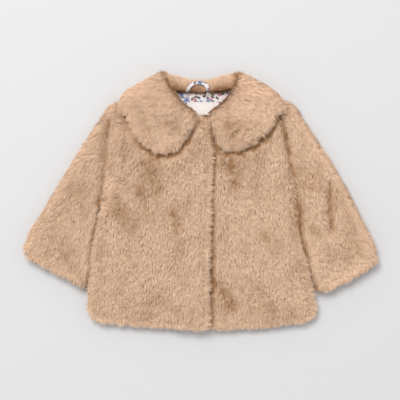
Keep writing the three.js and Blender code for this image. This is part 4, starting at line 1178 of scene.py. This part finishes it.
def collar_front(half):
    at_shoulder = evenly(in_from_shoulder(half, SHOULDER_FLAT))
    shares = rungs((0.92, 20), (1, 5))[1:]
    plan = patch(half["roll"], half["rim"], at_shoulder, half["tip"], shares, COLLAR_ROWS)
    plan = plan.transpose(1, 0, 2)
    tip_round = rounding((1 - shares) * 90 + 0.5, EDGE_REACH)[:, None]
    drawn = drawn_in(plan, (half["rim"], COLLAR_INSET["rim"]), (half["roll"], COLLAR_INSET["roll"]),
                     (half["tip"], COLLAR_INSET["tip"]))
    folds = collar_folds(plan)
    top = COLLAR_TOP - PILE - folds
    outer = raise_to(drawn, top)
    inner = raise_to(drawn, PRESSED_TOP + CLEAR)
    return outer, inner, np.broadcast_to(tip_round, plan.shape[:-1]), folds


def collar_turn(half):
    outer, inner = [], []
    for out_in, out, in_in, into in SHOULDER_TURN:
        far = raise_to(in_from_shoulder(half, out_in), out)
        near = raise_to(in_from_shoulder(half, in_in), into)
        outer.append(mix(near, far, 0.34))
        inner.append(near)
    outer, inner = np.array(outer), np.array(inner)
    return outer, inner, np.ones(outer.shape[:-1]), np.zeros(outer.shape[:-1])


def collar_fall():
    first, last = [evenly(in_from_shoulder(half, SHOULDER_FLAT)) for half in (collar_right, collar_left)]
    roll = smooth_line(first[0], *back_roll[20:-20:12], last[0])
    rim = smooth_line(first[-1], *back_rim[20:-20:12], last[-1])
    plan = patch(roll, rim, first, last, rungs((0.96, 16))[1:-1], COLLAR_ROWS).transpose(1, 0, 2)
    drawn = drawn_in(plan, (rim, COLLAR_INSET["fall"]))
    outer, inner = raise_to(drawn, 2.2), raise_to(drawn, FALL_TOP - 0.4)
    return outer, inner, np.ones(plan.shape[:-1]), np.zeros(plan.shape[:-1])


def make_collar():
    runs = [tuple(a[::-1] for a in collar_front(collar_right)), collar_turn(collar_right), collar_fall(),
            tuple(a[::-1] for a in collar_turn(collar_left)), collar_front(collar_left)]
    outer, inner, ends, folds = (np.concatenate(parts) for parts in zip(*runs))
    middle = (outer + inner) / 2
    steps = np.linalg.norm(np.diff(middle, axis=1), axis=-1)
    run = np.concatenate([np.zeros((len(steps), 1)), np.cumsum(steps, axis=1)], axis=1)
    to_edge = np.minimum(run, run[:, -1:] - run)
    share = np.maximum(0.14, np.minimum(ends, rounding(to_edge, EDGE_REACH - 2)))[..., None]
    outer, inner = mix(middle, outer, share), mix(middle, inner, share)
    nap = np.gradient(outer, axis=1)
    counts = [len(run[0]) for run in runs]
    behind = np.concatenate([np.full(count, value) for count, value in zip(counts, (0, 0.35, 1, 0.35, 0))])
    behind[counts[0]:counts[0] + counts[1]] = np.linspace(0, 1, counts[1])
    behind[-counts[4] - counts[3]:-counts[4]] = np.linspace(1, 0, counts[3])
    behind = behind[:, None]
    rim = 1 - eased(0.03, 0.14, np.minimum(COLLAR_ROWS, 1 - COLLAR_ROWS))[None]
    marks = {
        "grow": (mix(mix(1, 1.35, rim), mix(0.1, 0.35, rim), behind), mix(0.45, 0.1, behind) * rim),
        "tall": (mix(1, 0.72, eased(0, 0.3, behind)), 0.6),
        "lay": (0.95 * behind ** 2, 0.5),
        # Painted shade in the troughs, a little paler overall, and the listed spots
        "wear_and_shade": (0.16 * folds - 0.08 + collar_brushed_shade_and_light(outer[..., :2]), 0.3),
    }
    return shell("collar_cloth", outer, inner, nap, marks)


def make_stand():
    seam = smooth_line((-60, 173.6), (-51.5, 162.8), (-38, 155.4), (0, 153.4), (38, 155.4), (51.5, 162.8),
                       (58.5, 173.6))
    fold = smooth_line((-56.5, 180.4), (-36, 175.4), (0, 168), (34, 175.4), (55, 180.4))
    ends = [evenly(np.array([seam[i], fold[i]])) for i in (0, -1)]
    plan = patch(seam, fold, *ends, rungs((1, 40)), rungs((0.1, 2), (0.9, 8), (1, 2)))
    at_fold = rounding(distance_to(fold, plan) + 0.4, STAND_ROUND["fold"])
    at_seam = rounding(distance_to(seam, plan) + 0.4, STAND_ROUND["seam"])
    top = np.minimum(mix(5, STAND_TOP - 5, at_fold), mix(10, STAND_TOP - 5, at_seam))
    drawn = drawn_in(plan, (fold, STAND_INSET["fold"]), (seam, STAND_INSET["seam"]))
    nap = np.gradient(raise_to(plan, 0), axis=0)
    corners = np.minimum(distance_to(ends[0], plan), distance_to(ends[1], plan))
    # Painted shade low on the stand beside the neck seam and in its two corners
    shaded = 0.6 * (1 - eased(1, 11, distance_to(seam, plan))) + 0.6 * (1 - eased(2, 14, corners))
    marks = {"grow": (1.3, 0.1), "tall": (0.85, 0.6), "lay": (0, 0.6), "wear_and_shade": (shaded, 0.3)}
    return shell("collar_stand_cloth", raise_to(drawn, top), raise_to(drawn, STAND_FOOT), nap, marks)


collar = make_collar()
stand = make_stand()
collar_fur = grow_fur("collar_fur", collar, density=2.7, length=13.5, rise=0.58)
stand_fur = grow_fur("collar_stand_fur", stand, density=2.0, length=12, rise=0.6)
for cloth in (collar, stand):
    cloth.data.materials.append(GROUND)
    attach(cloth, "root")
    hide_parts("collar")

# The hanging loop: a narrow strip of the printed cotton, folded and sewn along both edges, its ends
# caught in the neck seam, standing up over the collar's roll.
LOOP = {"thick": 1.2, "clear": 2.4}
LOOP_FOOT = BACK_TOP + 2 * CLEAR + LINING_THICK

# The folded strip's section, from its open edge round the fold and back: aside, outside up, inside up
FOLDED_STRIP = np.array([
    (2.5, 0, 0.5), (1.3, 0, 0.5), (0, 0, 0.5), (-1.3, 0, 0.5), (-2.2, 0.05, 0.5), (-2.5, 0.35, 0.58),
    (-2.5, 0.85, 0.62), (-2.2, 1.15, 0.7), (-1.3, 1.2, 0.7), (0, 1.2, 0.7), (1.3, 1.2, 0.7),
    (2.5, 1.2, 0.7),
])


def make_loop():
    rise = STAND_TOP + LOOP["clear"]
    middle = smooth_line((-18.5, 147.5, LOOP_FOOT), (-18, 151, LOOP_FOOT + 2.4), (-16, 158, rise),
                         (-10, 163.6, rise), (-1, 165, rise), (6.6, 162.8, rise), (10, 157, rise),
                         (10.6, 151, LOOP_FOOT + 2.4), (10.8, 147.5, LOOP_FOOT))
    spine = along(middle, rungs((1, 56)))
    way = np.gradient(spine, axis=0)
    aside = np.stack([-way[:, 1], way[:, 0], np.zeros(len(way))], axis=1)
    aside /= np.linalg.norm(aside, axis=1)[:, None]
    upward = np.array([0, 0, 1.0])

    def layer(level):
        tucked = np.clip(FOLDED_STRIP[:, 0], -2.5 + level[4] * 0.9, 2.5)
        return spine[None] + aside[None] * tucked[:, None, None] + upward * level[:, None, None]

    outer, inner = layer(FOLDED_STRIP[:, 1]), layer(FOLDED_STRIP[:, 2])
    edges = [spine + aside * off + upward * (LOOP["thick"] + 0.1) for off in (-1.7, 1.7)]
    return shell("hanging_loop_tape", outer, inner, np.zeros_like(outer), {}), edges


loop, loop_edges = make_loop()
loop.data.materials.append(PRINT)
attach(loop, "root")
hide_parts("hanging_loop")
loop_stitches = sew("hanging_loop_stitches", loop_edges, pitch=1.8, stitch=1.4, thread=0.25)
